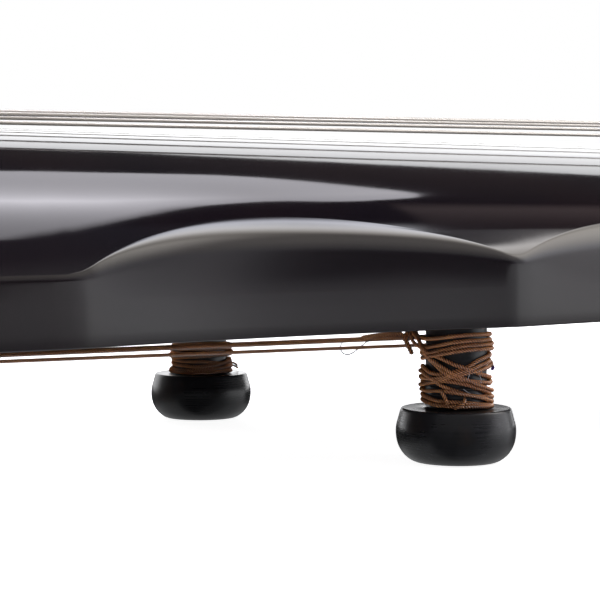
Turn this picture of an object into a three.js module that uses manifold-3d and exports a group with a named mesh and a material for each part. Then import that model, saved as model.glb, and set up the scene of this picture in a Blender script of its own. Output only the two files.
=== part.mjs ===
// Guqin, a long seven-string zither that stands on two turned feet and two peg guards.
// Millimetres. X runs along the body with the head at +X, Y across it with the player at -Y, Z up.
// The origin is the centre of the footprint, on the surface that the feet stand on.
// Lengths called a place "along" are measured from the head's end towards the tail.
import * as THREE from 'three';
import Module from 'manifold-3d';

const wasm = await Module();
wasm.setup();

// Fits
const clearance = 0.3;
const overrun = 4;

// Body outline
const overallLength = 1228;
const tailGuardReach = 4;
const headHalfWidth = 92;
const shoulderHalfWidth = 102;
const tailHalfWidth = 73;
const headCornerRadius = 14;
const tailCornerRadius = 6;
const headBow = 4;
const headBowReach = 50;
const neckArcStart = 104;
const neckArcEnd = 255;
const neckArcDepth = 8;
const waistArcLength = 131;
const waistArcDepth = 4.2;
const waistArcLean = 4.8;
const waistCuspToFoot = 7;
const cornerStationShares = [0, 0.04, 0.15, 0.35, 0.65, 1];

// Body thickness
const plateUnderside = 37.5;
const bottomPlateThickness = 11;
const shoulderEdgeHeight = 19.3;
const waistEdgeHeight = 16.6;
const tailEdgeHeight = 16.2;
const headEdgeHeight = 15;
const crownRise = 53;
const crownDropAtBridge = 4;
const crownDropAtHead = 13;
const crownDropAtTail = 1.6;
const crownTailReach = 200;
const edgeRound = 3;
const edgeRoundInShare = 0.3;
const edgeRoundUpShare = 0.7;
const archFullnessShare = 0.93;
const archSteps = 10;

// Sound box
const sideWall = 17;
const topWall = 16;
const headBlockLength = 150;
const tailBlockLength = 59;
const nayinRise = 5;
const nayinMargin = 14;
const footBlockReach = 24;
const footBlockWidth = 26;
const soundHoleMiddleShare = 0.5;
const soundHoleWidth = 28;
const dragonPoolLength = 200;
const phoenixPondLength = 110;
const holeRimWidth = 3;
const holeRimThickness = 1.8;
const pillarMiddleShare = 0.5;
const heavenPillarDiameter = 16;
const heavenPillarSides = 16;
const earthPillarWidth = 16;

// Bridge, peg strip and peg pool
const bridgeAlong = 92;
const bridgeThickness = 9;
const bridgeTopThickness = 6;
const bridgeTopChamfer = 1.2;
const bridgeHeight = 19;
const bridgeArchShare = 0.55;
const bridgeHalfSpan = 68;
const pegStripWidth = 22;
const pegStripHeight = 3;
const pegHoleDiameter = 4.4;
const smallHoleSides = 8;
const pegPoolLength = 27;
const pegPoolHalfSpan = 70;
const pegPoolCornerRadius = 4;
const pegBoardThickness = 2;

// Tuning pegs and their cords
const stringCount = 7;
const stringSpacing = 19;
const pegRadius = 8;
const pegFloorClearance = 3;
const pegBoreRadius = 1.9;
const pegKnotPocketDepth = 4;
const pegKnotPocketRadius = 3.6;
const pegFlutes = 8;
const pegProfileShares = [
  [0, 0.66, 0], [0.03, 0.78, 0.03], [0.12, 0.87, 0.07], [0.42, 0.98, 0.08], [0.66, 0.88, 0.05],
  [0.735, 0.72, 0], [0.79, 0.7, 0], [0.83, 0.98, 0], [1, 0.98, 0],
];
const pegCordRadius = 1.1;
const pegCordSides = 8;
const pegCordKnotRadius = 2.6;
// Peg cord's knot: share of its pocket's depth and of the knot's radius
const pegCordKnotShares = [[0.25, 1], [0.6, 0.9]];
const pegCordKnotEndShare = 0.6;
// Peg cord's way from the peg strip to the bridge: share of the way back and of the way up
const pegCordRiseShares = [0.75, 0.55];
const pegCordLeaveShare = 0.15;
const pegCordLoopShare = 0.8;

// Peg guards
const pegGuardLength = 32;
const pegGuardThickness = 9;
const pegGuardWaistInset = 1.8;
const pegGuardProfileShares = [[0, 0], [0.08, 0], [0.2, 0.55], [0.45, 1], [0.75, 0.55], [1, 0]];
const pegGuardCornerShare = 0.25;
const pegGuardTenonLength = 16;
const pegGuardTenonThickness = 4;
const pegGuardTenonHeight = 6;
const pegGuardGap = 2;

// Tail nut, tail nut rest and tail crowns
const tailNutHalfSpan = 26;
const tailNutLength = 16;
const tailNutDepth = 14;
const tailNutLift = 2.4;
const tailNutArchShare = 0.5;
const tailNutRound = 4;
const tailRestLength = 12;
const tailRestHeight = 3.6;
const tailRestRound = 2.4;
const tailCrownReach = 96;
const tailCrownGap = 3;
const tailCrownSkin = 2.4;
const tailCrownInset = 1.2;
const tailCrownUnderSkin = 2.2;
const tailCrownMinWidth = 8;
// Tail crown's two steps outwards: where each starts, how long it is, and its share of the whole step
const tailCrownStepShares = [[0.28, 0.14, 0.35], [0.62, 0.3, 0.65]];

// Goose feet
const footPlaceShare = 0.48;
const footEdgeInset = 18.54;
const footRadius = 16.4;
const footHeight = 14.7;
const footNeckRadius = 8.4;
const footTenonRadius = 5;
const footTenonLength = 21;
const footFillet = 0.5;
const footSides = 24;
const footProfileShares = [
  [0, 0], [0.52, 0], [0.63, 0.04], [0.74, 0.11], [0.855, 0.22], [0.94, 0.355], [0.985, 0.5],
  [1, 0.63], [0.985, 0.76], [0.957, 0.885], [0.932, 0.972], [0.915, 1],
];

// Hui studs
const huiLargeRadius = 5.5;
const huiMiddleRadius = 4.6;
const huiSmallRadius = 3.8;
const huiThickness = 1;
const huiSides = 10;
const huiEdgeInset = 22;
const huiShares = [
  1 / 8, 1 / 6, 1 / 5, 1 / 4, 1 / 3, 2 / 5, 1 / 2, 3 / 5, 2 / 3, 3 / 4, 4 / 5, 5 / 6, 7 / 8,
];
const huiMiddleMarks = [4, 10];

// Strings: string 1 is the far, thickest one
const stringDiameters = [1.35, 1.25, 1.2, 1.15, 1.1, 1.05, 1];
const tailStringSpacing = 6.5;
const stringLift = 0.3;
const flyKnotRadius = 2;
const flyKnotLength = 7;
// Fly-head knot and the string's rise to it: share of the knot's length from its middle, and of its radius
const flyKnotShares = [[1 / 3, 0.5], [0.25, 0.85], [0, 1], [-0.25, 0.85]];
const flyKnotFallShare = 0.6;
const stringSides = 6;
const turnSteps = 16;
const turnGap = 0.55;
const topTurnDrop = 0.9;
// Shares of a turn in which a string drops past the turns above it, and then lies in against the neck
const windingDropShare = 0.5;
const windingLandShare = 0.3;
const strandPass = 0.45;
const nearTurns = 4;
const farTurns = 2.6;
const nearStrings = [5, 6, 7];
const farStrings = [4, 3, 2, 1];

const mix = (a, b, share) => a + (b - a) * share;
const clamp01 = (value) => Math.min(1, Math.max(0, value));
const smooth = (value) => clamp01(value) ** 2 * (3 - 2 * clamp01(value));

// Derived places. The feet, sound holes and pillars stand between hui, as on any guqin.
const tailEnd = -overallLength / 2;
const headEnd = overallLength / 2;
const bodyLength = overallLength - tailGuardReach;
const tailFace = headEnd - bodyLength;
const huiAlong = (number) => mix(bridgeAlong, bodyLength, huiShares[number - 1]);
const footAlong = mix(huiAlong(9), huiAlong(10), footPlaceShare);
const waistArcStart = footAlong - waistCuspToFoot - waistArcLength;
const waistArcEnd = waistArcStart + 2 * waistArcLength;
const dragonPoolAlong = mix(huiAlong(4), huiAlong(7), soundHoleMiddleShare);
const dragonPoolStart = dragonPoolAlong - dragonPoolLength / 2;
const phoenixPondAlong = mix(huiAlong(10), huiAlong(huiShares.length), soundHoleMiddleShare);
const phoenixPondStart = phoenixPondAlong - phoenixPondLength / 2;
const heavenPillarAlong = mix(huiAlong(3), huiAlong(4), pillarMiddleShare);
const earthPillarAlong = mix(huiAlong(7), huiAlong(8), pillarMiddleShare);
const boxEnd = bodyLength - tailBlockLength;
const plateTop = plateUnderside + bottomPlateThickness;
const footX = headEnd - footAlong;
const footY = envelope(footAlong) - footEdgeInset;
const bridgeX = headEnd - bridgeAlong;
const bridgeHeadFace = bridgeX + bridgeThickness / 2;
const pegStripBack = bridgeHeadFace + clearance;
const pegStripFront = pegStripBack + pegStripWidth;
const pegX = (pegStripBack + pegStripFront) / 2;
const pegAlong = headEnd - pegX;
const pegBoardUnderside = plateTop - pegBoardThickness;
const pegTop = pegBoardUnderside - clearance;
const pegLength = pegTop - pegFloorClearance;
const holeRimLand = holeRimWidth + clearance;
const soundHoles = [[dragonPoolAlong, dragonPoolLength], [phoenixPondAlong, phoenixPondLength]];

const arcShare = (along, start, length) => {
  const share = (along - start) / length;
  return share > 0 && share < 1 ? 1 - (2 * share - 1) ** 2 : 0;
};

// Half the width of the body without its arcs, at a place along it
function envelope(along) {
  const towardsTail = (along - neckArcEnd) / (bodyLength - neckArcEnd);
  if (towardsTail > 0) return mix(shoulderHalfWidth, tailHalfWidth, towardsTail);
  const throughNeck = clamp01((along - neckArcStart) / (neckArcEnd - neckArcStart));
  return mix(headHalfWidth, shoulderHalfWidth, throughNeck);
}

function cornerCut(fromEnd, radius) {
  return fromEnd < radius ? radius - Math.sqrt(radius ** 2 - (radius - fromEnd) ** 2) : 0;
}

// Depth of the neck and waist arcs as one share, 1 where a waist arc is deepest
function waistShare(along) {
  return arcShare(along, waistArcStart, waistArcLength)
    + arcShare(along, waistArcStart + waistArcLength, waistArcLength);
}

function halfWidth(along) {
  const neck = neckArcDepth * arcShare(along, neckArcStart, neckArcEnd - neckArcStart);
  const ends = cornerCut(along, headCornerRadius) + cornerCut(bodyLength - along, tailCornerRadius);
  return envelope(along) - neck - waistArcDepth * waistShare(along) - ends;
}

function wallTopHalfWidth(along) {
  return halfWidth(along) - waistArcLean * waistShare(along);
}

function crownZ(along) {
  const bridgeDrop = crownDropAtBridge * smooth((huiAlong(4) - along) / (huiAlong(4) - bridgeAlong));
  const headDrop = crownDropAtHead - crownDropAtBridge;
  const foreheadDrop = headDrop * smooth((pegAlong - along) / pegAlong);
  const tailDrop = crownDropAtTail * smooth((along - bodyLength + crownTailReach) / crownTailReach);
  return plateUnderside + crownRise - bridgeDrop - foreheadDrop - tailDrop;
}

function edgeZ(along) {
  const throughWaist = clamp01((along - waistArcStart) / (waistArcEnd - waistArcStart));
  const towardsTail = clamp01((along - waistArcEnd) / (bodyLength - waistArcEnd));
  const towardsHead = clamp01((neckArcStart - along) / neckArcStart);
  const beforeTail = mix(shoulderEdgeHeight, waistEdgeHeight, throughWaist);
  const behindHead = mix(beforeTail, tailEdgeHeight, towardsTail);
  return plateUnderside + mix(behindHead, headEdgeHeight, towardsHead);
}

// Top surface: part of an ellipse across the body, which the arcs cut into
function surfaceZ(along, y) {
  const depthShare = 1 - Math.sqrt(1 - archFullnessShare ** 2);
  const semiHeight = (crownZ(along) - edgeZ(along)) / depthShare;
  const across = Math.min(1, archFullnessShare * Math.abs(y) / envelope(along));
  return crownZ(along) - semiHeight * (1 - Math.sqrt(1 - across ** 2));
}

// The head's end bows out a little in plan
function planX(along, y) {
  const bow = headBow * (y / headHalfWidth) ** 2 * clamp01(1 - along / headBowReach);
  return headEnd - along - bow;
}

// Closed mesh from rings of equally many points, with both ends fanned shut or, where looped, joined
function loft(rings) {
  const count = rings[0].length;
  const positions = [];
  const index = [];
  for (const ring of rings) {
    for (const point of ring) positions.push(point.x, point.y, point.z);
  }
  for (let i = 0; i + 1 < rings.length; i += 1) {
    for (let j = 0; j < count; j += 1) {
      const a = i * count + j;
      const b = i * count + (j + 1) % count;
      index.push(a, b, b + count, a, b + count, a + count);
    }
  }
  const capEnd = (start, flip) => {
    const middle = new THREE.Vector3();
    for (let j = 0; j < count; j += 1) middle.addScaledVector(rings[start / count][j], 1 / count);
    const hub = positions.length / 3;
    positions.push(middle.x, middle.y, middle.z);
    for (let j = 0; j < count; j += 1) {
      const a = start + j;
      const b = start + (j + 1) % count;
      if (flip) index.push(hub, b, a);
      else index.push(hub, a, b);
    }
  };
  capEnd(0, true);
  capEnd((rings.length - 1) * count, false);
  const geometry = new THREE.BufferGeometry();
  geometry.setAttribute('position', new THREE.Float32BufferAttribute(positions, 3));
  geometry.setIndex(index);
  return facingOut(geometry);
}

function signedVolume(geometry) {
  const position = geometry.getAttribute('position');
  const index = geometry.getIndex();
  const corners = [new THREE.Vector3(), new THREE.Vector3(), new THREE.Vector3()];
  let sum = 0;
  for (let i = 0; i < index.count; i += 3) {
    corners.forEach((corner, k) => corner.fromBufferAttribute(position, index.getX(i + k)));
    sum += corners[0].dot(corners[1].clone().cross(corners[2]));
  }
  return sum / 6;
}

function facingOut(geometry) {
  if (signedVolume(geometry) > 0) return geometry;
  const turned = Array.from(geometry.getIndex().array);
  for (let i = 0; i < turned.length; i += 3) {
    [turned[i + 1], turned[i + 2]] = [turned[i + 2], turned[i + 1]];
  }
  geometry.setIndex(turned);
  return geometry;
}

// Merges equal corners, so that a geometry from a class becomes one closed net
function welded(source) {
  const position = source.getAttribute('position');
  const index = source.getIndex();
  const corners = index ? Array.from(index.array) : Array.from({ length: position.count }, (_, i) => i);
  const places = new Map();
  const points = [];
  const merged = corners.map((corner) => {
    const xyz = [position.getX(corner), position.getY(corner), position.getZ(corner)];
    const key = xyz.map((value) => Math.round(value * 1e4)).join(' ');
    if (!places.has(key)) {
      places.set(key, points.length / 3);
      points.push(...xyz);
    }
    return places.get(key);
  });
  const kept = [];
  for (let i = 0; i < merged.length; i += 3) {
    const [a, b, c] = merged.slice(i, i + 3);
    if (a !== b && b !== c && c !== a) kept.push(a, b, c);
  }
  const geometry = new THREE.BufferGeometry();
  geometry.setAttribute('position', new THREE.Float32BufferAttribute(points, 3));
  geometry.setIndex(kept);
  return facingOut(geometry);
}

function toSolid(geometry) {
  return new wasm.Manifold(new wasm.Mesh({
    numProp: 3,
    vertProperties: new Float32Array(geometry.getAttribute('position').array),
    triVerts: new Uint32Array(geometry.getIndex().array),
  }));
}

function toGeometry(manifold) {
  const mesh = manifold.getMesh();
  const geometry = new THREE.BufferGeometry();
  geometry.setAttribute('position', new THREE.Float32BufferAttribute(mesh.vertProperties, 3));
  geometry.setIndex(Array.from(mesh.triVerts));
  return geometry;
}

function cut(geometry, cutters) {
  let body = toSolid(geometry);
  for (const cutter of cutters) body = body.subtract(toSolid(cutter));
  return toGeometry(body);
}

function join(geometries) {
  let body = toSolid(geometries[0]);
  for (const geometry of geometries.slice(1)) body = body.add(toSolid(geometry));
  return toGeometry(body);
}

// Upright prism of a plan outline between two heights
function prism(shape, low, high, curveSegments = 4) {
  const block = new THREE.ExtrudeGeometry(shape, { depth: high - low, bevelEnabled: false, curveSegments });
  block.translate(0, 0, low);
  return welded(block);
}

function box(x0, x1, y0, y1, z0, z1) {
  const block = new THREE.BoxGeometry(x1 - x0, y1 - y0, z1 - z0);
  block.translate((x0 + x1) / 2, (y0 + y1) / 2, (z0 + z1) / 2);
  return welded(block);
}

function rod(x, y, z0, z1, radius, sides) {
  const block = new THREE.CylinderGeometry(radius, radius, z1 - z0, sides);
  block.rotateX(Math.PI / 2);
  block.translate(x, y, (z0 + z1) / 2);
  return welded(block);
}

function roundedRectangle(x, y, length, width, radius) {
  const shape = new THREE.Shape();
  const [left, right, low, high] = [x - length / 2, x + length / 2, y - width / 2, y + width / 2];
  shape.moveTo(left + radius, low);
  shape.lineTo(right - radius, low);
  shape.absarc(right - radius, low + radius, radius, -Math.PI / 2, 0, false);
  shape.absarc(right - radius, high - radius, radius, 0, Math.PI / 2, false);
  shape.absarc(left + radius, high - radius, radius, Math.PI / 2, Math.PI, false);
  shape.absarc(left + radius, low + radius, radius, Math.PI, 1.5 * Math.PI, false);
  return shape;
}

// Places along the body where its shape is sampled, close together where it turns
function stationsBetween(marks) {
  const places = [];
  for (let i = 0; i + 1 < marks.length; i += 1) {
    const [start, steps] = marks[i];
    for (let j = 0; j < steps; j += 1) places.push(mix(start, marks[i + 1][0], j / steps));
  }
  places.push(marks[marks.length - 1][0]);
  return places;
}

function cornerStations(radius, fromTail) {
  const places = cornerStationShares.map((share) => radius * share);
  return fromTail ? places.map((place) => bodyLength - place).reverse() : places;
}

const bodyStations = [
  ...cornerStations(headCornerRadius, false),
  ...stationsBetween([
    [headBowReach, 3], [bridgeAlong, 1], [neckArcStart, 6], [neckArcEnd, 3], [huiAlong(4), 4],
    [waistArcStart, 7], [waistArcStart + waistArcLength, 7], [waistArcEnd, 2],
    [bodyLength - crownTailReach / 2, 3], [bodyLength - 2 * tailCornerRadius, 1],
  ]),
  ...cornerStations(tailCornerRadius, true),
];

function topPlateRing(along) {
  const foot = halfWidth(along);
  const top = wallTopHalfWidth(along);
  const shoulder = surfaceZ(along, top);
  const inner = top - edgeRound;
  const low = shoulder - edgeRound;
  const onWall = mix(top, foot, (shoulder - low) / (shoulder - plateUnderside));
  const soft = mix(onWall, inner, edgeRoundInShare);
  const softZ = mix(low, surfaceZ(along, inner), edgeRoundUpShare);
  const half = [[foot, plateTop], [onWall, low], [soft, softZ], [inner, surfaceZ(along, inner)]];
  const points = half.map(([y, z]) => [-y, z]);
  for (let i = 1; i < archSteps; i += 1) {
    const y = inner * Math.sin(Math.PI * (i / archSteps - 0.5));
    points.push([y, surfaceZ(along, y)]);
  }
  points.push(...half.reverse());
  return points.map(([y, z]) => new THREE.Vector3(planX(along, y), y, z));
}

// Hollow of the top plate: it keeps a side wall, a solid block over each foot, and two low humps
// under the surface, which face the sound holes
function hollowHalfWidth(along) {
  const fromFoot = Math.abs(along - footAlong);
  const block = footBlockWidth * smooth((2 * footBlockReach - fromFoot) / footBlockReach);
  return halfWidth(along) - sideWall - block;
}

function hollowCeiling(along, y) {
  let hump = 0;
  for (const [middle, length] of soundHoles) {
    const reach = length / 2 + nayinMargin;
    const lengthwise = smooth((reach - Math.abs(along - middle)) / nayinMargin);
    const across = smooth((soundHoleWidth / 2 + 2 * nayinMargin - Math.abs(y)) / nayinMargin);
    hump = Math.max(hump, lengthwise * across);
  }
  return surfaceZ(along, y) - topWall - nayinRise * hump;
}

function hollowGeometry() {
  const steps = 8;
  const places = stationsBetween([
    [headBlockLength, 3], [dragonPoolStart - nayinMargin, 2], [dragonPoolStart, 1],
    [dragonPoolStart + dragonPoolLength, 2], [dragonPoolStart + dragonPoolLength + nayinMargin, 3],
    [footAlong - 2 * footBlockReach, 4], [footAlong - footBlockReach, 1], [footAlong + footBlockReach, 3],
    [phoenixPondStart, 1], [phoenixPondStart + phoenixPondLength, 2],
    [phoenixPondStart + phoenixPondLength + nayinMargin, 1], [boxEnd, 1],
  ]);
  return loft(places.map((along) => {
    const reach = hollowHalfWidth(along);
    const ring = [[-reach, plateTop - overrun]];
    for (let i = 0; i <= steps; i += 1) {
      const y = mix(-reach, reach, i / steps);
      ring.push([y, Math.max(plateTop + overrun / 2, hollowCeiling(along, y))]);
    }
    ring.push([reach, plateTop - overrun]);
    return ring.map(([y, z]) => new THREE.Vector3(headEnd - along, y, z));
  }));
}

// Point on the top surface and the upright tilt of the surface there
function surfaceFrame(along, y) {
  const slope = (surfaceZ(along, y + clearance) - surfaceZ(along, y - clearance)) / (2 * clearance);
  return { z: surfaceZ(along, y), tilt: Math.atan(slope) };
}

function huiPlace(number) {
  const along = huiAlong(number);
  const outerBridge = stringSpacing * (stringCount - 1) / 2;
  const outerTail = tailStringSpacing * (stringCount - 1) / 2;
  const outerString = mix(outerBridge, outerTail, huiShares[number - 1]);
  const y = mix(outerString, envelope(along), 0.5);
  return { along, y: Math.min(y, halfWidth(along) - huiEdgeInset) };
}

function huiRadius(number) {
  if (number === 7) return huiLargeRadius;
  return number > huiMiddleMarks[0] && number < huiMiddleMarks[1] ? huiMiddleRadius : huiSmallRadius;
}

// Disc lying in the top surface, its top level with it
function huiDisc(number, radius, below, above) {
  const { along, y } = huiPlace(number);
  const { z, tilt } = surfaceFrame(along, y);
  const disc = new THREE.CylinderGeometry(radius, radius, below + above, huiSides);
  disc.rotateX(Math.PI / 2);
  disc.translate(0, 0, (above - below) / 2);
  disc.rotateX(tilt);
  disc.translate(headEnd - along, y, z);
  return welded(disc);
}

const stringY = (number) => stringSpacing * ((stringCount + 1) / 2 - number);
const tailStringY = (number) => tailStringSpacing * ((stringCount + 1) / 2 - number);
const stringNumbers = Array.from({ length: stringCount }, (_, i) => i + 1);
const huiNumbers = huiShares.map((_, i) => i + 1);

function cordHolesBetween(low, high) {
  return stringNumbers.map((number) => rod(
    pegX, stringY(number), low, high, pegHoleDiameter / 2, smallHoleSides,
  ));
}

function topPlate() {
  const tailNutSeat = box(
    tailEnd - overrun, tailFace + tailNutLength + clearance,
    -tailNutHalfSpan - clearance, tailNutHalfSpan + clearance,
    tailNutTop(0) - tailNutDepth - clearance, tailNutTop(0) + overrun,
  );
  const tenonTop = plateUnderside + footTenonLength + clearance;
  const footHoles = [-footY, footY].map((y) => rod(
    footX, y, plateTop - overrun, tenonTop, footTenonRadius + clearance, footSides,
  ));
  const cordHoles = cordHolesBetween(plateTop - overrun, crownZ(pegAlong) + overrun);
  const huiSeats = huiNumbers.map((number) => huiDisc(
    number, huiRadius(number) + clearance, huiThickness + clearance, overrun,
  ));
  return cut(loft(bodyStations.map(topPlateRing)), [
    hollowGeometry(), tailNutSeat, ...footHoles, ...cordHoles, ...huiSeats,
  ]);
}

function bodyOutline() {
  const side = (sign) => bodyStations.map((along) => {
    const y = sign * halfWidth(along);
    return new THREE.Vector2(planX(along, y), y);
  });
  return new THREE.Shape([...side(-1).reverse(), ...side(1)]);
}

function soundHole(along, length, growth) {
  const width = soundHoleWidth + 2 * growth;
  return roundedRectangle(headEnd - along, 0, length + 2 * growth, width, width / 2);
}

function pegGuardY(side) {
  return side * (pegPoolHalfSpan + pegGuardGap + pegGuardThickness / 2);
}

function bottomPlate() {
  const [low, high] = [plateUnderside - overrun, plateTop + overrun];
  const cutters = [prism(
    roundedRectangle(pegX, 0, pegPoolLength, 2 * pegPoolHalfSpan, pegPoolCornerRadius), low, high,
  )];
  for (const [along, length] of soundHoles) {
    cutters.push(prism(soundHole(along, length, 0), low, high));
    cutters.push(prism(
      soundHole(along, length, holeRimLand), low, plateUnderside + holeRimThickness + clearance,
    ));
  }
  for (const side of [-1, 1]) {
    cutters.push(rod(footX, side * footY, low, high, footTenonRadius + clearance, footSides));
    const y = pegGuardY(side);
    const halfLength = pegGuardTenonLength / 2 + clearance;
    const halfThickness = pegGuardTenonThickness / 2 + clearance;
    cutters.push(box(
      pegX - halfLength, pegX + halfLength, y - halfThickness, y + halfThickness,
      low, plateUnderside + pegGuardTenonHeight + clearance,
    ));
  }
  return cut(prism(bodyOutline(), plateUnderside, plateTop), cutters);
}

function holeRim([along, length]) {
  const shape = soundHole(along, length, holeRimWidth);
  shape.holes.push(new THREE.Path(soundHole(along, length, 0).getPoints(4).reverse()));
  return prism(shape, plateUnderside, plateUnderside + holeRimThickness);
}

function pegBoard() {
  const length = pegPoolLength - 2 * clearance;
  const width = 2 * (pegPoolHalfSpan - clearance);
  const shape = roundedRectangle(pegX, 0, length, width, pegPoolCornerRadius - clearance);
  const holes = cordHolesBetween(pegBoardUnderside - overrun, plateTop + overrun);
  return cut(prism(shape, pegBoardUnderside, plateTop), holes);
}

// Ridge that follows the arch of the top surface, from rings across the body
function acrossTop(halfSpan, steps, section) {
  const rings = [];
  for (let i = 0; i <= steps; i += 1) {
    const y = mix(-halfSpan, halfSpan, i / steps);
    rings.push(section(y).map(([x, z]) => new THREE.Vector3(x, y, z)));
  }
  return loft(rings);
}

function seatZ(x, y) {
  return surfaceZ(headEnd - x, y) + clearance;
}

function bridgeTopZ(y) {
  return mix(crownZ(bridgeAlong), surfaceZ(bridgeAlong, y), bridgeArchShare) + bridgeHeight;
}

function bridge() {
  const back = bridgeX - bridgeThickness / 2;
  const topBack = bridgeHeadFace - bridgeTopThickness;
  return acrossTop(bridgeHalfSpan, 12, (y) => [
    [back, seatZ(back, y)],
    [bridgeHeadFace, seatZ(bridgeHeadFace, y)],
    [bridgeHeadFace, bridgeTopZ(y) - bridgeTopChamfer],
    [bridgeHeadFace - bridgeTopChamfer, bridgeTopZ(y)],
    [topBack + bridgeTopChamfer, bridgeTopZ(y)],
    [topBack, bridgeTopZ(y) - bridgeTopChamfer],
  ]);
}

function pegStripTopZ(y) {
  return Math.max(seatZ(pegStripBack, y), seatZ(pegStripFront, y)) + pegStripHeight;
}

function pegStrip() {
  const strip = acrossTop(bridgeHalfSpan, 16, (y) => [
    [pegStripBack, seatZ(pegStripBack, y)],
    [pegStripFront, seatZ(pegStripFront, y)],
    [pegStripFront, pegStripTopZ(y)],
    [pegStripBack, pegStripTopZ(y)],
  ]);
  return cut(strip, cordHolesBetween(plateTop, pegStripTopZ(0) + overrun));
}

function arcPoints(x, z, radius, start, end, steps) {
  const points = [];
  for (let i = 0; i <= steps; i += 1) {
    const angle = mix(start, end, i / steps);
    points.push([x + radius * Math.cos(angle), z + radius * Math.sin(angle)]);
  }
  return points;
}

function tailNutTop(y) {
  const along = bodyLength - tailNutLength;
  return mix(crownZ(along), surfaceZ(along, y), tailNutArchShare) + tailNutLift;
}

function tailNut() {
  const front = tailFace + tailNutLength;
  const low = tailNutTop(0) - tailNutDepth;
  const centreX = tailFace + tailNutRound;
  return acrossTop(tailNutHalfSpan, 6, (y) => [
    [front, low],
    [front, tailNutTop(y)],
    ...arcPoints(centreX, tailNutTop(y) - tailNutRound, tailNutRound, Math.PI / 2, Math.PI, 4),
    [tailFace, low],
  ]);
}

function tailNutRest() {
  const front = tailFace + tailRestLength;
  const low = plateUnderside - tailRestHeight;
  const [centreX, centreZ] = [tailFace + tailRestRound, low + tailRestRound];
  const around = arcPoints(centreX, centreZ, tailRestRound, Math.PI, 1.5 * Math.PI, 4);
  return acrossTop(tailNutHalfSpan, 2, () => [
    [front, plateUnderside], [tailFace, plateUnderside], ...around, [front, low],
  ]);
}

// Inner edge of a tail crown: narrow at the tail nut, then two cloud-like steps out to the body's side
function tailCrownInner(fromTail) {
  const share = clamp01(fromTail / tailCrownReach);
  const start = tailNutHalfSpan + tailCrownGap;
  const finish = tailHalfWidth - tailCrownMinWidth;
  const steps = tailCrownStepShares.map(([from, span, size]) => size * smooth((share - from) / span));
  const stepped = steps.reduce((sum, step) => sum + step, 0);
  return mix(start, finish, stepped);
}

const [[firstStep, firstSpan], [secondStep]] = tailCrownStepShares;
const tailCrownPlaces = stationsBetween([
  [0, 2], [tailCrownReach * firstStep, 3], [tailCrownReach * (firstStep + firstSpan), 2],
  [tailCrownReach * secondStep, 4], [tailCrownReach, 1],
]);

function tailCrownOuter(fromTail) {
  return wallTopHalfWidth(bodyLength - Math.max(fromTail, tailCornerRadius)) - tailCrownInset;
}

// Plan outline of a tail crown, from the body's very end towards the head
function tailCrownOutline(side) {
  const inner = tailCrownPlaces.map((fromTail) => [fromTail, side * tailCrownInner(fromTail)]);
  const outer = tailCrownPlaces.map((fromTail) => [fromTail, side * tailCrownOuter(fromTail)]);
  return new THREE.Shape([...inner, ...outer.reverse()].map(([fromTail, y]) => {
    const x = fromTail === 0 ? tailEnd : tailFace + fromTail;
    return new THREE.Vector2(x, y);
  }));
}

// Tail stretch of the top plate's outer form, lifted and drawn out past the tail's face
function liftedTail(lift, reach) {
  const start = bodyLength - tailCrownReach - overrun;
  const places = bodyStations.filter((along, i) => !(bodyStations[i + 1] <= start));
  const rings = places.map((along) => topPlateRing(along).map((point) => new THREE.Vector3(
    point.x, point.y, point.z > plateTop ? point.z + lift : point.z - clearance,
  )));
  const last = rings[rings.length - 1].map((point) => point.clone().setX(tailFace - reach));
  return toSolid(loft([...rings, last]));
}

function upperTailCrown(side) {
  const lifted = liftedTail(clearance + tailCrownSkin, tailGuardReach);
  const skin = lifted.subtract(liftedTail(clearance, clearance));
  const within = toSolid(prism(tailCrownOutline(side), plateTop, plateTop + crownRise));
  return toGeometry(skin.intersect(within));
}

function lowerTailCrown(side) {
  const low = plateUnderside - tailCrownUnderSkin;
  const reach = [side * (tailNutHalfSpan + tailCrownGap), side * (halfWidth(bodyLength) - tailCrownInset)];
  const [left, right] = reach.sort((a, b) => a - b);
  const lip = box(tailEnd, tailFace - clearance, left, right, low, plateTop - clearance);
  return join([prism(tailCrownOutline(side), low, plateUnderside), lip]);
}

function pillar(shapePoints, along) {
  const x = headEnd - along;
  const ceilings = [-1, 0, 1].map((side) => hollowCeiling(along, side * earthPillarWidth / 2));
  const high = Math.min(...ceilings) - 2 * clearance;
  const ring = (z) => shapePoints.map(([dx, dy]) => new THREE.Vector3(x + dx, dy, z));
  return loft([ring(plateTop), ring(high)]);
}

function regularPolygon(sides, radius, turn) {
  return Array.from({ length: sides }, (_, i) => {
    const angle = turn + 2 * Math.PI * i / sides;
    return [radius * Math.cos(angle), radius * Math.sin(angle)];
  });
}

function pegGuard(side) {
  const y = pegGuardY(side);
  const corner = pegGuardThickness * pegGuardCornerShare;
  const rings = pegGuardProfileShares.map(([heightShare, insetShare]) => {
    const halfLength = pegGuardLength / 2 - pegGuardWaistInset * insetShare;
    const halfThickness = pegGuardThickness / 2 - pegGuardWaistInset * insetShare / 2;
    const z = plateUnderside * heightShare;
    const corners = [
      [halfLength - corner, -halfThickness], [halfLength, corner - halfThickness],
      [halfLength, halfThickness - corner], [halfLength - corner, halfThickness],
      [corner - halfLength, halfThickness], [-halfLength, halfThickness - corner],
      [-halfLength, corner - halfThickness], [corner - halfLength, -halfThickness],
    ];
    return corners.map(([dx, dy]) => new THREE.Vector3(pegX + dx, y + dy, z));
  });
  const tenon = box(
    pegX - pegGuardTenonLength / 2, pegX + pegGuardTenonLength / 2,
    y - pegGuardTenonThickness / 2, y + pegGuardTenonThickness / 2,
    plateUnderside - pegGuardTenonHeight, plateUnderside + pegGuardTenonHeight,
  );
  return join([loft(rings), tenon]);
}

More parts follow.
